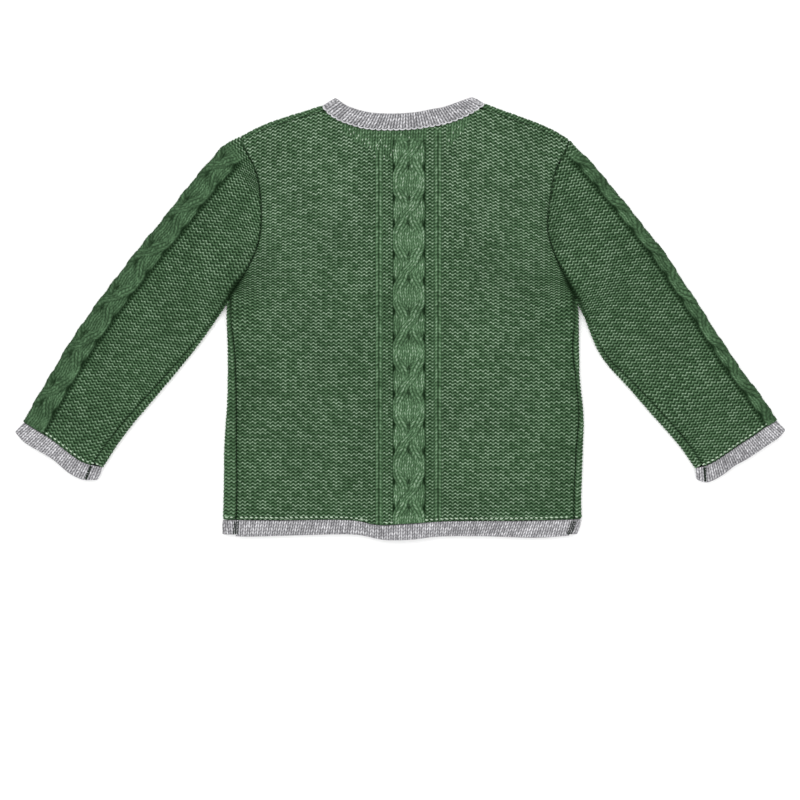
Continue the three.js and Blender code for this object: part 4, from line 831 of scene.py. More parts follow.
def front_side(shell, half):
    """A front's stitches over the side fold, up to the side seam."""
    sign = half["sign"]
    y = np.arange(half["frontHemY"] + HALF_GAP, half["armpit"][1] + 0.1, ROW_PITCH / LINES_PER_ROW)
    y, share = np.meshgrid(y, np.linspace(0, 1, 27), indexing="ij")
    reach = length_at(seam_inset(half, y) - HALF_GAP)
    length = mix(UNDER_START, reach, share)
    c = (length - reach) / STITCH_WIDTH
    stitches = purl(c, (y - BACK_ORIGIN_Y) / ROW_PITCH)
    wave = purl_wave(c) * smooth(0, 3, y - y.min()) * smooth(0, 3, y.max() - y)
    edge = np.stack([edge_x(half, y), y + wave], -1)
    cloth = over_fold(edge, np.array([-sign, 0.0]), length, body_top)
    border = np.minimum(reach - length, y - y.min())
    seam = seam_edge(border, cloth[0][..., 0], cloth[0][..., 1])
    lay_over_fold(shell, cloth, stitches, seam, length, sign > 0)


def front_shoulder(shell, half):
    """A front's stitches over the shoulder fold, which the rows cross at a slant."""
    line = half["lines"]["shoulder"]
    along = np.arange(0, line.length, STITCH_WIDTH / COLUMNS_PER_STITCH)
    reach = float(length_at(SHOULDER_SEAM_INSET))
    length = np.arange(UNDER_START, reach + 0.1, ROW_PITCH / LINES_PER_ROW)
    along, length = np.meshgrid(along, length)
    cos, sin = np.cos(SHOULDER_SLANT), np.sin(SHOULDER_SLANT)
    c = (along * cos - length * sin) / STITCH_WIDTH
    r = (length * cos + along * sin) / ROW_PITCH
    height, tone_and_shade = purl(c, r - ROW_WAVE * np.cos(2 * np.pi * c))
    cloth = over_fold(line.at(along), fold_direction(half, along / line.length), length, body_top)
    border = length.max() - length + SHOULDER_FLAT
    held = smooth(0, EDGE_ROUND, border)
    # Painted shade where the cloth turns down into the shoulder seam; the flap's tone is also a little
    # darker
    seam = (held, 0.6 * EDGE_DIP * (1 - held), mix(0.6, 1, smooth(0, 1.2, border)))
    lay_over_fold(shell, cloth, (height, 0.92 * tone_and_shade), seam, length, half is RIGHT)


def make_front(half):
    """A front: a plain underside, and stitches where it wraps over the side and the shoulder."""
    sign = half["sign"]
    lines = half["lines"]
    shell = Shell()
    front_side(shell, half)
    front_shoulder(shell, half)
    band = FRONT_CENTRE + sign * (BAND_HALF_WIDTH + SEAM_GAP)
    bottom = half["frontHemY"] + HALF_GAP
    step = 4.0
    x, y = np.meshgrid(np.arange(band, sign * 150, sign * step), np.arange(bottom, 178, step))

    def outer(v):
        side = edge_x(half, v) - sign * UNDER_INSET
        armhole = lines["armhole"].x_at(v) - sign * LINE_GAP
        return np.where(v < half["armpit"][1], side, armhole)

    def high(u):
        neck = lines["frontNeckSeam"].y_at(u)
        shoulder = lines["shoulder"].y_at(u) - UNDER_INSET + 0.5
        beside_neck = sign * u > abs(half["frontNeckSeam"][0][0]) - 2
        return np.where(beside_neck, shoulder, np.minimum(neck, shoulder))

    left, right = (strip_border(band), outer)[::sign]
    x, y, _ = inside_limits(x, y, left, right, strip_border(bottom), high)
    knit = (x / STITCH_WIDTH, y / ROW_PITCH, 1.0)
    shell.grid(np.stack([x, y, front_rise(half, x)], -1), PLAIN_TONE, flipped=sign > 0, knit=knit)
    made = shell.build(f"front_{half['name']}_knit", GREEN)
    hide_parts(f"front_{half['name']}")
    return made


def first_crossing(starts, directions, border):
    """How far rays go until they meet a border line."""
    a, b = border[:-1], border[1:]
    edge = b - a
    cross = directions[:, None, 0] * edge[None, :, 1] - directions[:, None, 1] * edge[None, :, 0]
    gap = a[None] - starts[:, None]
    cross = np.where(np.abs(cross) < 1e-9, 1e-9, cross)
    far = (gap[..., 0] * edge[None, :, 1] - gap[..., 1] * edge[None, :, 0]) / cross
    share = (gap[..., 0] * directions[:, None, 1] - gap[..., 1] * directions[:, None, 0]) / cross
    far = np.where((share >= -1e-6) & (share <= 1 + 1e-6) & (far > 0.01), far, np.inf)
    return far.min(1)


def sleeve_skin(half):
    """A function for the height of a sleeve's upper skin, without its stitches."""
    folds = [half["lines"][name] for name in ("sleeveTop", "sleeveUnder")]

    def top(x, y):
        distance = np.minimum(*(fold.distance(x, y) for fold in folds))
        return fold_height(distance) + crease_height(x, y) * smooth(0, 6, distance)

    return top


FINE_STEP = 0.52
# Painted shade: the sleeves' tone is darker than the back's, the left one's more
SLEEVE_SHADE = {"left": 0.86, "right": 0.91}
TOP_EVEN = 14.0                 # over which the directions square to the folds are evened
UNDER_EVEN = 6.0
CUFF_DRAW = 55.0                # stretch on which the rows take the cuff seam's shape


def from_top(half, at):
    """Points on a sleeve's top fold, and the directions inward from them."""
    line = half["lines"]["sleeveTop"]
    return line.at(at), half["sign"] * line.right(at, TOP_EVEN)


def from_under(half, at):
    """The same for its underarm fold."""
    line = half["lines"]["sleeveUnder"]
    return line.at(at), -half["sign"] * line.right(at, UNDER_EVEN)


def sleeve_reach(half, w, seam_inset_line):
    """How far rows go inward from the top fold, to the armhole or to the underarm seam."""
    sign = half["sign"]
    under = half["lines"]["sleeveUnder"]
    samples = np.linspace(0, under.length, 60)
    seam = under.at(samples) - sign * under.right(samples) * seam_inset_line.y_at(samples)[:, None]
    beyond = seam[-1:] + (seam[-1:] - seam[-2:-1]) * 4
    border = np.vstack([half["lines"]["armhole"].points + [sign * LINE_GAP, 0], seam, beyond])
    reach = first_crossing(*from_top(half, w), border)
    return np.where(np.isfinite(reach), reach, 0)


def sleeve_upper(shell, half, seam_inset_line):
    """A sleeve's upper side and top fold, with the cable along the fold."""
    spec = half["cable"]
    top, armhole = half["lines"]["sleeveTop"], half["lines"]["armhole"]
    last = top.length
    w = np.arange(0, last + 1e-6, last / round(last / ROW_PITCH * LINES_PER_ROW))
    columns = np.concatenate([np.arange(UNDER_START, spec["to"], FINE_STEP),
                              np.arange(spec["to"], 165, STITCH_WIDTH / COLUMNS_PER_STITCH)])
    length, ww = np.meshgrid(columns, w)
    limit = length_at(sleeve_reach(half, w, seam_inset_line))[:, None]
    clamped = np.minimum(length, limit)
    c = (length - spec["to"]) / STITCH_WIDTH
    height, tone_and_shade = purl(c, ww / ROW_PITCH)
    # The cable, along the fold
    across = clamped - spec["centre"]
    relief, shade = cable(across, spec["ring"] - ww)
    started = smooth(3, 20, ww)
    near = cable_share(across) * started
    height = mix(height, relief, near)
    # Painted shadow in a band beside the cable, and painted shade on the cable, darker where it turns over
    # the fold
    beside = bell(np.abs(across) - CABLE_EDGE - 1.3, 1.8) * started
    turned = mix(0.4, 0.74, smooth(-HALF_FOLD, 10, clamped))
    tone_and_shade = mix(tone_and_shade, 0.02 + turned * shade, near) * (1 - 0.7 * beside * (1 - near))
    # Rows lie square to the top fold, and near the cuff they take the cuff seam's shape
    cuff = half["lines"]["cuffSeam"].points - top.at(last)
    cuff_inset = cuff @ from_top(half, last - 4.0)[1]
    cuff_along = last + cuff @ unit(top.at(last) - top.at(last - 12.0))
    end = np.interp(fold_inset(clamped), cuff_inset, cuff_along)
    travelled = np.clip(ww + purl_wave(c) * (1 - near), 0, last)
    travelled = travelled + (end - last) * smooth(last - CUFF_DRAW, last, travelled)
    cloth = over_fold(*from_top(half, travelled), clamped, sleeve_skin(half))
    x, y = cloth[0][..., 0], cloth[0][..., 1]
    border = np.minimum(np.minimum(limit - clamped, last - ww + HEM_FLAT), armhole.distance(x, y))
    stitches = (height, SLEEVE_SHADE[half["name"]] * tone_and_shade)
    lay_over_fold(shell, cloth, stitches, seam_edge(border, x, y), clamped, half is RIGHT)


def sleeve_underarm(shell, half, seam_inset_line):
    """Over a sleeve's underarm fold, from the seam to the underside."""
    last = half["lines"]["sleeveUnder"].length
    along = np.linspace(0, last, round(last / ROW_PITCH * LINES_PER_ROW) + 1)
    along, share = np.meshgrid(along, np.linspace(0, 1, 25), indexing="ij")
    limit = length_at(seam_inset_line.y_at(along) - HALF_GAP)
    length = mix(UNDER_START, limit, share)
    c = (length - limit) / STITCH_WIDTH
    height, tone_and_shade = purl(c, along / ROW_PITCH)
    moved = along + purl_wave(c) * smooth(0, 3, along) * smooth(0, 3, last - along)
    cloth = over_fold(*from_under(half, moved), length, sleeve_skin(half))
    border = np.minimum(limit - length, last - along + HEM_FLAT)
    seam = seam_edge(border, cloth[0][..., 0], cloth[0][..., 1])
    lay_over_fold(shell, cloth, (height, SLEEVE_SHADE[half["name"]] * tone_and_shade), seam, length, half is LEFT)


def sleeve_underside(shell, half):
    """The plain underside between a sleeve's two folds."""
    lines = half["lines"]
    steps = np.linspace(0, 1, 60)
    across = np.linspace(0, 1, 20)
    length = lines["sleeveTop"].length
    starts = (from_top(half, steps * length), from_under(half, steps * lines["sleeveUnder"].length))
    a, b = (start + inward * UNDER_INSET for start, inward in starts)

    def bow(line):
        """How far a line departs from the straight way between its ends."""
        straight = mix(line.at(0), line.at(line.length), across[:, None])
        return (line.at(across * line.length) - straight)[None]

    flat = mix(a[:, None], b[:, None], across[None, :, None])
    share = steps[:, None, None]
    flat = flat + bow(lines["armhole"]) * (1 - share) + bow(lines["cuffSeam"]) * share
    points = np.concatenate([flat, np.zeros((*flat.shape[:2], 1))], -1)
    wide = np.linalg.norm(b - a, axis=1)[:, None]
    knit = (across * wide / STITCH_WIDTH, steps[:, None] * length / ROW_PITCH, 1.0)
    shell.grid(points, PLAIN_TONE, flipped=half is LEFT, knit=knit)


def make_sleeve(half):
    """A flattened tube: stitches on the upper side and over both folds, and a plain underside."""
    shell = Shell()
    seam_inset_line = Line(rounded(half["underSeam"]))
    sleeve_upper(shell, half, seam_inset_line)
    sleeve_underarm(shell, half, seam_inset_line)
    sleeve_underside(shell, half)
    made = shell.build(f"sleeve_{half['name']}_knit", GREEN)
    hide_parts(f"sleeve_{half['name']}")
    return made


# Trims: a closed section swept along stations, with stockinette legs on its outer side
def trim_section(steps):
    """Across, height and share of relief of the points round a trim's section."""
    outer = [(t, 0.0, 1.0) for t in np.linspace(0.05, 0.93, steps)]
    edge = [(0.985, -0.14, 0.8), (1.0, -0.42, 0.4), (1.0, -0.75, 0.0), (0.93, -1.0, 0.0)]
    inner = [(0.5, -1.0, 0.0), (0.08, -1.0, 0.0)]
    return np.array([(0.0, -0.75, 0.0), (0.0, -0.28, 0.5), *outer, *edge, *inner])


def close_ends(shell, points, flipped):
    """Faces over both ends of a swept section, whose last point is its first again."""
    for ring, flip in ((points[0, :-1], flipped), (points[-1, :-1], not flipped)):
        count = len(ring) // 2
        shell.grid(np.stack([ring[:count], ring[::-1][:count]]), PLAIN_TONE, flipped=flip)


def make_trim(node, stations, closed=False, flipped=False, stitch=TRIM_STITCH, scallop=0.0):
    """A trim in place of a node, from its stations: points at the seam and at the free edge,
    normals and share of relief."""
    seam, edge, normal, fine = stations
    normal, fine = normal[:, None], fine[:, None]
    steps = np.linalg.norm(np.diff((seam + edge) / 2, axis=0), axis=1)
    along = np.concatenate([[0], np.cumsum(steps)])[:, None]
    way = (edge - seam)[:, None]
    width = np.linalg.norm(way, axis=2)
    across, height, weight = trim_section(18).T[:, None]
    v = along / stitch + 0.45 * across * np.sin(along / 29)
    r = across * width / ROW_PITCH + 0.35 * np.sin(along / 17)
    # The legs' tone is painted shade between them and painted light on them
    leg, tone_and_shade = legs(v, r)
    lift = 0.75 * leg * weight * fine * (1 + stitch_noise(v, r, 0.12))
    swell = np.where(normal[..., 2] > 0.2, 0.3, 0.0) * np.sin(np.pi * across) * weight
    loop = scallop * np.abs(np.sin(np.pi * along / stitch)) * (1 - across) ** 3
    reach = way * (across - loop / width)[..., None]
    points = seam[:, None] + reach + normal * (height * TRIM_CLOTH + lift + swell)[..., None]
    points[..., 2] = np.maximum(points[..., 2], 0)
    tone_and_shade = mix(PLAIN_TONE, tone_and_shade, weight * fine)
    around = np.where(height == -1, 2 - across, across) * width - height * TRIM_CLOTH
    knit = np.stack([v, around / ROW_PITCH, 1 - weight * fine])
    # Round to the first point again
    points = np.concatenate([points, points[:, :1]], 1)
    tone_and_shade = np.concatenate([tone_and_shade, tone_and_shade[:, :1]], 1)
    knit = np.concatenate([knit, knit[:, :, :1]], 2)
    shell = Shell()
    shell.grid(points, tone_and_shade, closed=closed, flipped=flipped, knit=knit)
    if not closed:
        close_ends(shell, points, not flipped)
    made = shell.build(f"{node}_knit", GREY)
    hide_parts(node)
    return made


LEG_STEP = 0.49
PLAIN_STEP = 3.0


def station_steps(stretches):
    """Values along stretches of (from, to, step), joined end to end."""
    values = []
    for start, end, step in stretches:
        values.append(np.linspace(start, end, max(2, round(abs(end - start) / step)), endpoint=False))
    return np.concatenate([*values, [stretches[-1][1]]])


def upright(points):
    return np.tile([0.0, 0.0, 1.0], (len(points), 1))


def raised(plan, z):
    return np.concatenate([plan, np.asarray(z)[:, None]], 1)


def make_hem_back():
    t = np.linspace(0, 1, int(290 / LEG_STEP))

    def at(half, y):
        return edge_x(half, y) - half["sign"] * (half["hemInset"] + HALF_GAP)

    seam_x = mix(at(LEFT, HEM_SEAM_Y), at(RIGHT, HEM_SEAM_Y), t)
    edge_at = mix(at(LEFT, HEM_EDGE_Y), at(RIGHT, HEM_EDGE_Y), t)
    seam = np.stack([seam_x, hem_seam_y(seam_x) + 0.1], -1)
    edge = np.stack([edge_at, hem_edge_y(edge_at)], -1)
    seam = raised(seam, body_top(seam[:, 0], seam[:, 1]) + 0.1)
    edge = raised(edge, body_top(edge[:, 0], edge[:, 1]) + 0.1)
    return make_trim("hem_back", (seam, edge, upright(seam), np.ones(len(t))), flipped=True)


def fold_stations(seam, edge, inward, lengths):
    """Stations of a trim that passes over a fold, at lengths from its outermost line."""
    lengths = np.asarray(lengths)
    inward = np.broadcast_to(inward, (len(lengths), 2))
    outer, normals = over_fold(np.broadcast_to(seam, (len(lengths), 2)), inward, lengths, body_top)
    inner, _ = over_fold(np.broadcast_to(edge, (len(lengths), 2)), inward, lengths, body_top)
    return outer, inner, normals


def make_hem_front(half):
    sign = half["sign"]
    high = np.array([edge_x(half, HEM_SEAM_Y), half["frontHemY"] - HALF_GAP])
    low = np.array([edge_x(half, HEM_EDGE_Y), half["frontHemEdgeY"]])
    band = FRONT_CENTRE + sign * (BAND_HALF_WIDTH + SEAM_GAP)
    # The plain stretch under the garment, then the stitches over the side fold
    t = np.linspace(0, 1, 24, endpoint=False)
    under = 4.0
    rise = front_rise(half, mix(band, high[0] - sign * (FOLD_RADIUS + under), t))
    flats = []
    for corner in (high, low):
        x = mix(band, corner[0] - sign * (FOLD_RADIUS + under), t)
        flats.append(raised(np.stack([x, np.full(len(t), corner[1])], -1), rise))
    lengths = np.arange(-HALF_FOLD - under, float(length_at(half["hemInset"] - HALF_GAP)), LEG_STEP)
    seam, edge, normal = fold_stations(high, low, np.array([-sign, 0.0]), lengths)
    fine = smooth(-HALF_FOLD - 3, -HALF_FOLD + 2, lengths)
    stations = (np.vstack([flats[0], seam]), np.vstack([flats[1], edge]),
                np.vstack([-upright(t), normal]), np.concatenate([np.zeros(len(t)), fine]))
    return make_trim(f"hem_front_{half['name']}", stations, flipped=sign < 0)


NECK_STITCH = 4.6


def neckband_half(half):
    """Stations of the neckband on one half, from the front's end to the middle of the back."""
    lines = half["lines"]
    sign = half["sign"]
    # The plain front, from its end at the band
    end = FRONT_CENTRE - sign * BAND_HALF_WIDTH
    t = 1 - np.linspace(0, 1, 36, endpoint=False)
    front_seam, front_edge = lines["frontNeckSeam"], lines["frontNeckEdge"]
    at = t * front_seam.length
    seam = front_seam.at(at) + sign * front_seam.right(at) * HALF_GAP
    seam = np.vstack([[end, front_seam.points[-1, 1] + SEAM_GAP], seam])
    edge = np.vstack([[end, front_edge.points[-1, 1]], front_edge.at(t * front_edge.length)])
    rise = np.where(seam[:, 0] < FRONT_CENTRE - BAND_HALF_WIDTH, 0, front_rise(half, seam[:, 0]))
    front = (raised(seam, rise), raised(edge, rise), -upright(seam), np.zeros(len(seam)))
    # Over the shoulder fold
    lengths = np.arange(-HALF_FOLD, HALF_FOLD, LEG_STEP)
    corners = (np.array(half["neckSeam"][0]), np.array(half["neckEdge"][0]))
    over = fold_stations(*corners, unit(np.array(half["neckFold"])), lengths)
    fold = (*over, smooth(-HALF_FOLD, 0, lengths))
    # Along the back
    back_seam, back_edge = lines["neckSeam"], lines["neckEdge"]
    t = np.linspace(0, 1, int(back_seam.length / LEG_STEP))[1:]
    sides = [line.at(t * line.length) for line in (back_seam, back_edge)]
    sides = [raised(plan, np.maximum(body_top(*plan.T), NECKBAND_TOP)) for plan in sides]
    back = (*sides, upright(t), np.ones(len(t)))
    return [np.concatenate(parts) for parts in zip(front, fold, back)]


def make_neckband():
    left = neckband_half(LEFT)
    right = [part[:-1][::-1] for part in neckband_half(RIGHT)]
    stations = [np.concatenate(parts) for parts in zip(left, right)]
    return make_trim("neckband", stations, stitch=NECK_STITCH, scallop=0.9)


def cuff_ring(half):
    """Stations round a cuff, from the underside's start over the top fold, the upper side and back."""
    seam_line, end_line = half["lines"]["cuffSeam"], half["lines"]["cuffEnd"]
    flat = seam_line.length - 2 * FOLD_RADIUS
    upper_end, under_start = HALF_FOLD + flat, 3 * HALF_FOLD + flat
    places = station_steps([(-HALF_FOLD, under_start, LEG_STEP),
                            (under_start, under_start + flat, PLAIN_STEP)])[:-1]
    upper = np.clip(places - HALF_FOLD, 0, flat) / flat
    under = np.clip(places - under_start, 0, flat) / flat
    first = np.clip(places, -HALF_FOLD, HALF_FOLD) / FOLD_RADIUS
    second = np.clip(places - upper_end, 0, 2 * HALF_FOLD) / FOLD_RADIUS

    def choose(on_upper, *others):
        """A value for each place: on the upper side, on the underside or on one of the two folds."""
        return np.select([under > 0, places <= HALF_FOLD, second > 0], others, on_upper)

    sides = []
    for line in (seam_line, end_line):
        width = line.length
        stretch = width - 2 * FOLD_RADIUS
        inset = choose(FOLD_RADIUS + stretch * upper, width - FOLD_RADIUS - stretch * under,
                       FOLD_RADIUS * (1 - np.cos(first)), width - FOLD_RADIUS * (1 - np.sin(second)))
        plan = line.at(inset)
        way = unit(line.at(inset + 1) - line.at(inset - 1))
        top = fold_height(np.minimum(inset, width - inset)) + crease_height(*plan.T)
        z = choose(top, 0, FOLD_RADIUS * (1 + np.sin(first)), FOLD_RADIUS * (1 + np.cos(second)))
        sides.append(raised(plan, z))
    out = choose(0, 0, -np.cos(first), np.sin(second))
    up = choose(1, -1, np.sin(first), np.cos(second))
    normal = unit(np.concatenate([way * out[:, None], up[:, None]], 1))
    fine = smooth(-HALF_FOLD, -HALF_FOLD + 3, places)
    fine = fine * (1 - smooth(2.2 * HALF_FOLD + flat, under_start, places))
    seam, edge = sides
    return seam - unit(edge - seam) * 0.1, edge, normal, fine


def make_cuff(half):
    return make_trim(f"cuff_{half['name']}", cuff_ring(half), closed=True, flipped=half is LEFT)


# The front bands lie on each other, with the buttons under the lower one
CLOTH = 2.4
LAYER_GAP = 0.3
BAND_BOTTOM, BAND_TOP = -177.0, 132.0
BUTTON_RADIUS = 7.5
BUTTON_THICK = 1.9
BUTTON_YS = 112.0 - 66.0 * np.arange(5)
BUTTON_LIFT = BUTTON_THICK + LAYER_GAP
THIN_OVER_BUTTON = 0.6
BAND_ROUND = 1.2                # radius of a band's sides


def make_band(name, upper):
    """A knitted band with rounded sides, swept along y."""
    y = np.arange(BAND_BOTTOM, BAND_TOP + 0.1, 1.5)
    nearest = np.abs(y[:, None] - BUTTON_YS).min(1)
    share = 1 - smooth(BUTTON_RADIUS + 1.5, BUTTON_RADIUS + 13, nearest)
    thick = CLOTH - THIN_OVER_BUTTON * share
    low = BUTTON_LIFT * share + (thick + LAYER_GAP if upper else 0)
    # The section, in mm across and in shares of the height
    turn = np.linspace(-np.pi / 2, np.pi / 2, 7)
    flat = BAND_HALF_WIDTH - BAND_ROUND
    side = np.stack([flat + BAND_ROUND * np.cos(turn), 0.5 + 0.5 * np.sin(turn)], -1)
    inner = np.linspace(flat, -flat, 19)[1:-1]
    top = np.stack([inner, np.ones(17)], -1)
    bottom = np.stack([-inner, np.zeros(17)], -1)
    across, up = np.vstack([side, top, side[::-1] * [-1, 1], bottom, side[:1]]).T
    across, rows = np.meshgrid(across, y)
    points = np.stack([FRONT_CENTRE + across, rows, low[:, None] + up * thick[:, None]], -1)
    shell = Shell()
    shell.grid(points, PLAIN_TONE, flipped=True, knit=(rows / STITCH_WIDTH, across / ROW_PITCH, 1.0))
    close_ends(shell, points, False)
    made = shell.build(f"{name}_knit", GREY)
    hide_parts(name)
    return made


# Loose stitches along the trims
DASH_PITCH = 4.1
DASH_LENGTH = 2.5
DASH_RADIUS = 0.62
DASH_AWAY = 2.2                 # from the seam
LOOSE_THREADS = [
    (-41, 155), (-40, 151), (-37.5, 152.5), (-35, 148), (-33.5, 150), (-30.5, 146.5), (-28.5, 143.5),
    (-27.5, 147), (-25, 144), (-24, 140.5), (-20, 132.5), (-18.5, 142), (-17.8, 139), (-15.5, 146),
    (-12.5, 133), (-11, 141), (-7, 134), (-5.2, 137.5), (-3.5, 135.5), (1.2, 150.5), (8, 148),
    (12.5, 147), (40.6, 146), (43.9, 152.5), (44.6, 144), (48.5, 157), (50, 152)]


def bead_row(shell, places, ways, size, radius, tilt):
    """Small rounded stitches at places, each along its own way."""
    t = np.linspace(-1, 1, 7)
    ring = np.linspace(0, 2 * np.pi, 9)
    swell = radius * np.sqrt(np.maximum(0, 1 - t**2) + 0.02)
    for place, way in zip(places, np.broadcast_to(ways, (len(places), 2))):
        turn = RANDOM.normal(tilt, 0.12)
        sin, cos = np.sin(turn), np.cos(turn)
        way = np.array([way[0] * cos - way[1] * sin, way[0] * sin + way[1] * cos, 0])
        side = np.array([-way[1], way[0], 0])
        long = size * RANDOM.uniform(0.85, 1.12) / 2
        centre = place + t[:, None] * long * way
        skin = np.cos(ring)[:, None] * side + np.sin(ring)[:, None] * np.array([0, 0, 0.8])
        shell.grid(centre[:, None] + skin * swell[:, None, None], RANDOM.uniform(0.5, 1))


def make_dashes():
    """Mint stitches just above the hem's and the cuffs' seams, and loose threads below the neckband."""
    shell = Shell()
    level = -164.0
    x = np.arange(edge_x(LEFT, level) + 2.4, edge_x(RIGHT, level) - 1.6, DASH_PITCH)
    for half in HALVES:
        seam = edge_x(half, level) - half["sign"] * half["hemInset"]
        x = x[np.abs(x - seam) > 2.1]
    # None shows below the left rib, and only every third one below the cable
    x = x[~((x > -23) & (x < -13)) & ~((x > -2) & (x < 18) & (np.arange(len(x)) % 3 != 0))]
    y = hem_seam_y(x) + DASH_AWAY
    places = np.stack([x, y, body_top(x, y) + 0.75], -1)
    bead_row(shell, places, (1.0, 0.0), DASH_LENGTH, DASH_RADIUS, -0.1)
    for half in HALVES:
        line = half["lines"]["cuffSeam"]
        start = half["cable"]["to"] - 8
        at = np.arange(3.0, line.length - 2.0, DASH_PITCH)
        at = at[at > start]
        plan = line.at(at) + unit(line.at(0) - half["lines"]["cuffEnd"].at(0)) * DASH_AWAY
        z = sleeve_skin(half)(*plan.T) + mix(1.9, 0.75, smooth(start, start + 4, at))
        ways = unit(line.at(at + 1) - line.at(at - 1))
        bead_row(shell, raised(plan, z), ways, DASH_LENGTH, DASH_RADIUS, 0.0)
    plan = np.array(LOOSE_THREADS)
    bead_row(shell, raised(plan, body_top(*plan.T) + 0.7), (0.12, 1.0), 2.0, 0.36, 0.0)
    return shell.build("mint_stitches", MINT)


def make_neck_loops():
    """The scalloped line of loops along the neckband's lower edge."""
    shell = Shell()
    t = np.linspace(0, np.pi, 9)
    ring = np.linspace(0, 2 * np.pi, 7)
    radius = 0.62
    for half in HALVES:
        line, edge = half["lines"]["neckSeam"], half["lines"]["neckEdge"]
        count = int(line.length / NECK_STITCH)
        wide = line.length / count
        for k in range(count):
            at = (k + 0.5) * wide - np.cos(t) * wide * 0.5
            down = unit(line.at(at) - edge.at(at / line.length * edge.length))
            drop = (1.5 * np.sin(t) - 0.7)[:, None] * RANDOM.uniform(0.85, 1.2)
            plan = line.at(at) + down * drop
            z = np.maximum(body_top(*plan.T), NECKBAND_TOP) + 0.9 - 0.25 * np.cos(t) ** 2
            offset = np.cos(ring)[:, None] * raised(down, np.zeros(9))[:, None]
            offset = offset + 0.85 * np.sin(ring)[:, None] * np.array([0, 0, 1.0])
            points = raised(plan, z)[:, None] + radius * offset
            shell.grid(points, RANDOM.uniform(0.75, 1.1), flipped=half is RIGHT)
    return shell.build("neck_loops", LIGHT_GREY)


def make_seam_allowances():
    """Narrow strips inside the seams, where two edges of cloth are joined. They are real cloth, drawn
    nearly black with painted shade where they show through the gaps.
    """
    shell = Shell()
    # Painted shade: the strips are drawn nearly black, as the seams' gaps lie in shadow
    in_shade = 0.05

    def strip(plan, depth, reach=3.0):
        line = Line(plan)
        at = np.linspace(0.5, line.length - 0.5, int(line.length / 2.5))
        out = line.right(at) * reach
        sides = np.stack([line.at(at) - out, line.at(at) + out])
        z = body_top(sides[..., 0], sides[..., 1]) - depth
        points = np.concatenate([sides, np.maximum(z, 1.2)[..., None]], -1)
        shell.grid(points, in_shade)
        shell.grid(points - [0, 0, 0.8], in_shade, flipped=True)

    for half in HALVES:
        lines = half["lines"]
        strip(lines["armhole"].points[::4], 3.2)
        strip(lines["neckSeam"].points[::4], 2.6, 2.0)
        inward = fold_direction(half, 0.5) * (SHOULDER_SEAM_INSET + 0.3)
        strip(lines["shoulder"].points[::4] + inward, 2.6, 2.4)
        cuff = lines["cuffSeam"]
        at = np.linspace(FOLD_RADIUS, cuff.length - FOLD_RADIUS, 20)
        out = cuff.right(at) * 2.5
        sides = np.stack([cuff.at(at) - out, cuff.at(at) + out])
        shell.grid(np.concatenate([sides, np.full((2, 20, 1), 3.0)], -1), in_shade)
    x = np.linspace(edge_x(LEFT, HEM_SEAM_Y) + 4, edge_x(RIGHT, HEM_SEAM_Y) - 4, 80)
    strip(np.stack([x, hem_seam_y(x)], -1), 2.6)
    return shell.build("seam_allowances", GREEN)


def make_seam_stubs():
    """The dark ends of the side seams on the hem and of the underarm seams on the cuffs."""
    shell = Shell()

    def stub(start, end, top, radius):
        start, end = np.array(start), np.array(end)
        plan = mix(start, end, np.linspace(0.06, 0.94, 6)[:, None])
        z = top(*plan.T) + 0.6 + 0.4 * radius
        bead_row(shell, raised(plan, z), unit(end - start), 2.2, radius, 0.0)

    for half in HALVES:
        inset = half["sign"] * half["hemInset"]
        seam, edge = edge_x(half, HEM_SEAM_Y) - inset, edge_x(half, HEM_EDGE_Y) - inset
        for aside in (-1.5, 0.0, 1.5):
            stub((seam + aside, -166.5), (edge + aside, -176.5), body_top, 0.5)
        line, end = half["lines"]["cuffSeam"], half["lines"]["cuffEnd"]
        at = line.length - half["underSeam"][-1][1] - 0.6
        start, finish = line.at(at), end.at(at * end.length / line.length)
        stub(mix(start, finish, 0.08), mix(start, finish, 0.92), sleeve_skin(half), 1.0)
    return shell.build("seam_stubs", DARK_THREAD)


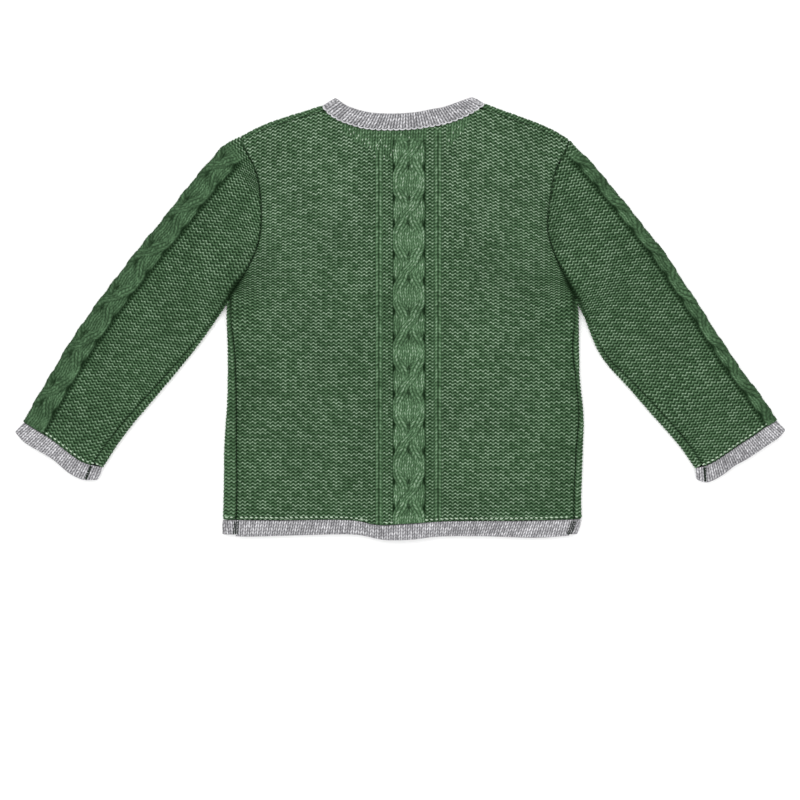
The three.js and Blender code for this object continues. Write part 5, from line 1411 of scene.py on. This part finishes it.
# The pieces
back_left = make_back_ground(
    "back_left", lambda y: back_side(LEFT, y), strip_border(STRIP["left"] + UNDERLAP))
back_right = make_back_ground(
    "back_right", strip_border(STRIP["right"] - UNDERLAP), lambda y: back_side(RIGHT, y))
back_centre = make_back_centre()
for piece in (back_left, back_right, back_centre):
    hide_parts("back")
fronts = [make_front(half) for half in HALVES]
sleeves = [make_sleeve(half) for half in HALVES]
hem_back = make_hem_back()
hem_fronts = [make_hem_front(half) for half in HALVES]
neckband = make_neckband()
cuffs = [make_cuff(half) for half in HALVES]
bands = [make_band("band_buttonhole", False), make_band("band_button", True)]
dashes = make_dashes()
neck_loops = make_neck_loops()
seam_allowances = make_seam_allowances()
seam_stubs = make_seam_stubs()

for number in range(1, 6):
    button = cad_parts[f"button_{number}"]
    button.data.materials.clear()
    button.data.materials.append(HORN)


# Floor, light and camera
def make_floor():
    mesh = bpy.data.meshes.new("floor")
    size = 6.0
    corners = [(-size, -size, 0), (size, -size, 0), (size, size, 0), (-size, size, 0)]
    mesh.from_pydata(corners, [], [(0, 1, 2, 3)])
    mesh.materials.append(FLOOR)
    floor = add_object("floor", mesh)
    floor.location.z = -0.0004


def make_area(name, place, size, power):
    """A square light that faces the garment."""
    light = bpy.data.lights.new(name, "AREA")
    light.shape = "SQUARE"
    light.size = size
    light.energy = power
    lamp = add_object(name, light)
    lamp.location = place
    lamp.rotation_euler = (-Vector(place)).to_track_quat("-Z", "Y").to_euler()


def make_light():
    world = bpy.data.worlds.new("studio")
    world.use_nodes = True
    background = world.node_tree.nodes["Background"]
    background.inputs["Color"].default_value = (1, 1, 1, 1)
    background.inputs["Strength"].default_value = 1.25
    bpy.context.scene.world = world
    make_area("key", (-0.7, 1.0, 1.9), 1.4, 14)
    make_area("fill", (1.1, -0.7, 2.0), 1.6, 5)
    bpy.context.scene.view_settings.view_transform = "Standard"


PICTURE = 800
PIXEL = 0.82                    # one pixel of the picture on the garment
PICTURE_CENTRE = (0.41, -66.8)
CAMERA_HEIGHT = 2460.0


def make_camera():
    data = bpy.data.cameras.new("camera")
    data.sensor_width = 36
    data.lens = data.sensor_width * CAMERA_HEIGHT / (PICTURE * PIXEL)
    camera = add_object("camera", data)
    height = CAMERA_HEIGHT + LAYER_TOP
    camera.location = (PICTURE_CENTRE[0] * MM, PICTURE_CENTRE[1] * MM, height * MM)
    bpy.context.scene.camera = camera


make_floor()
make_light()
make_camera()
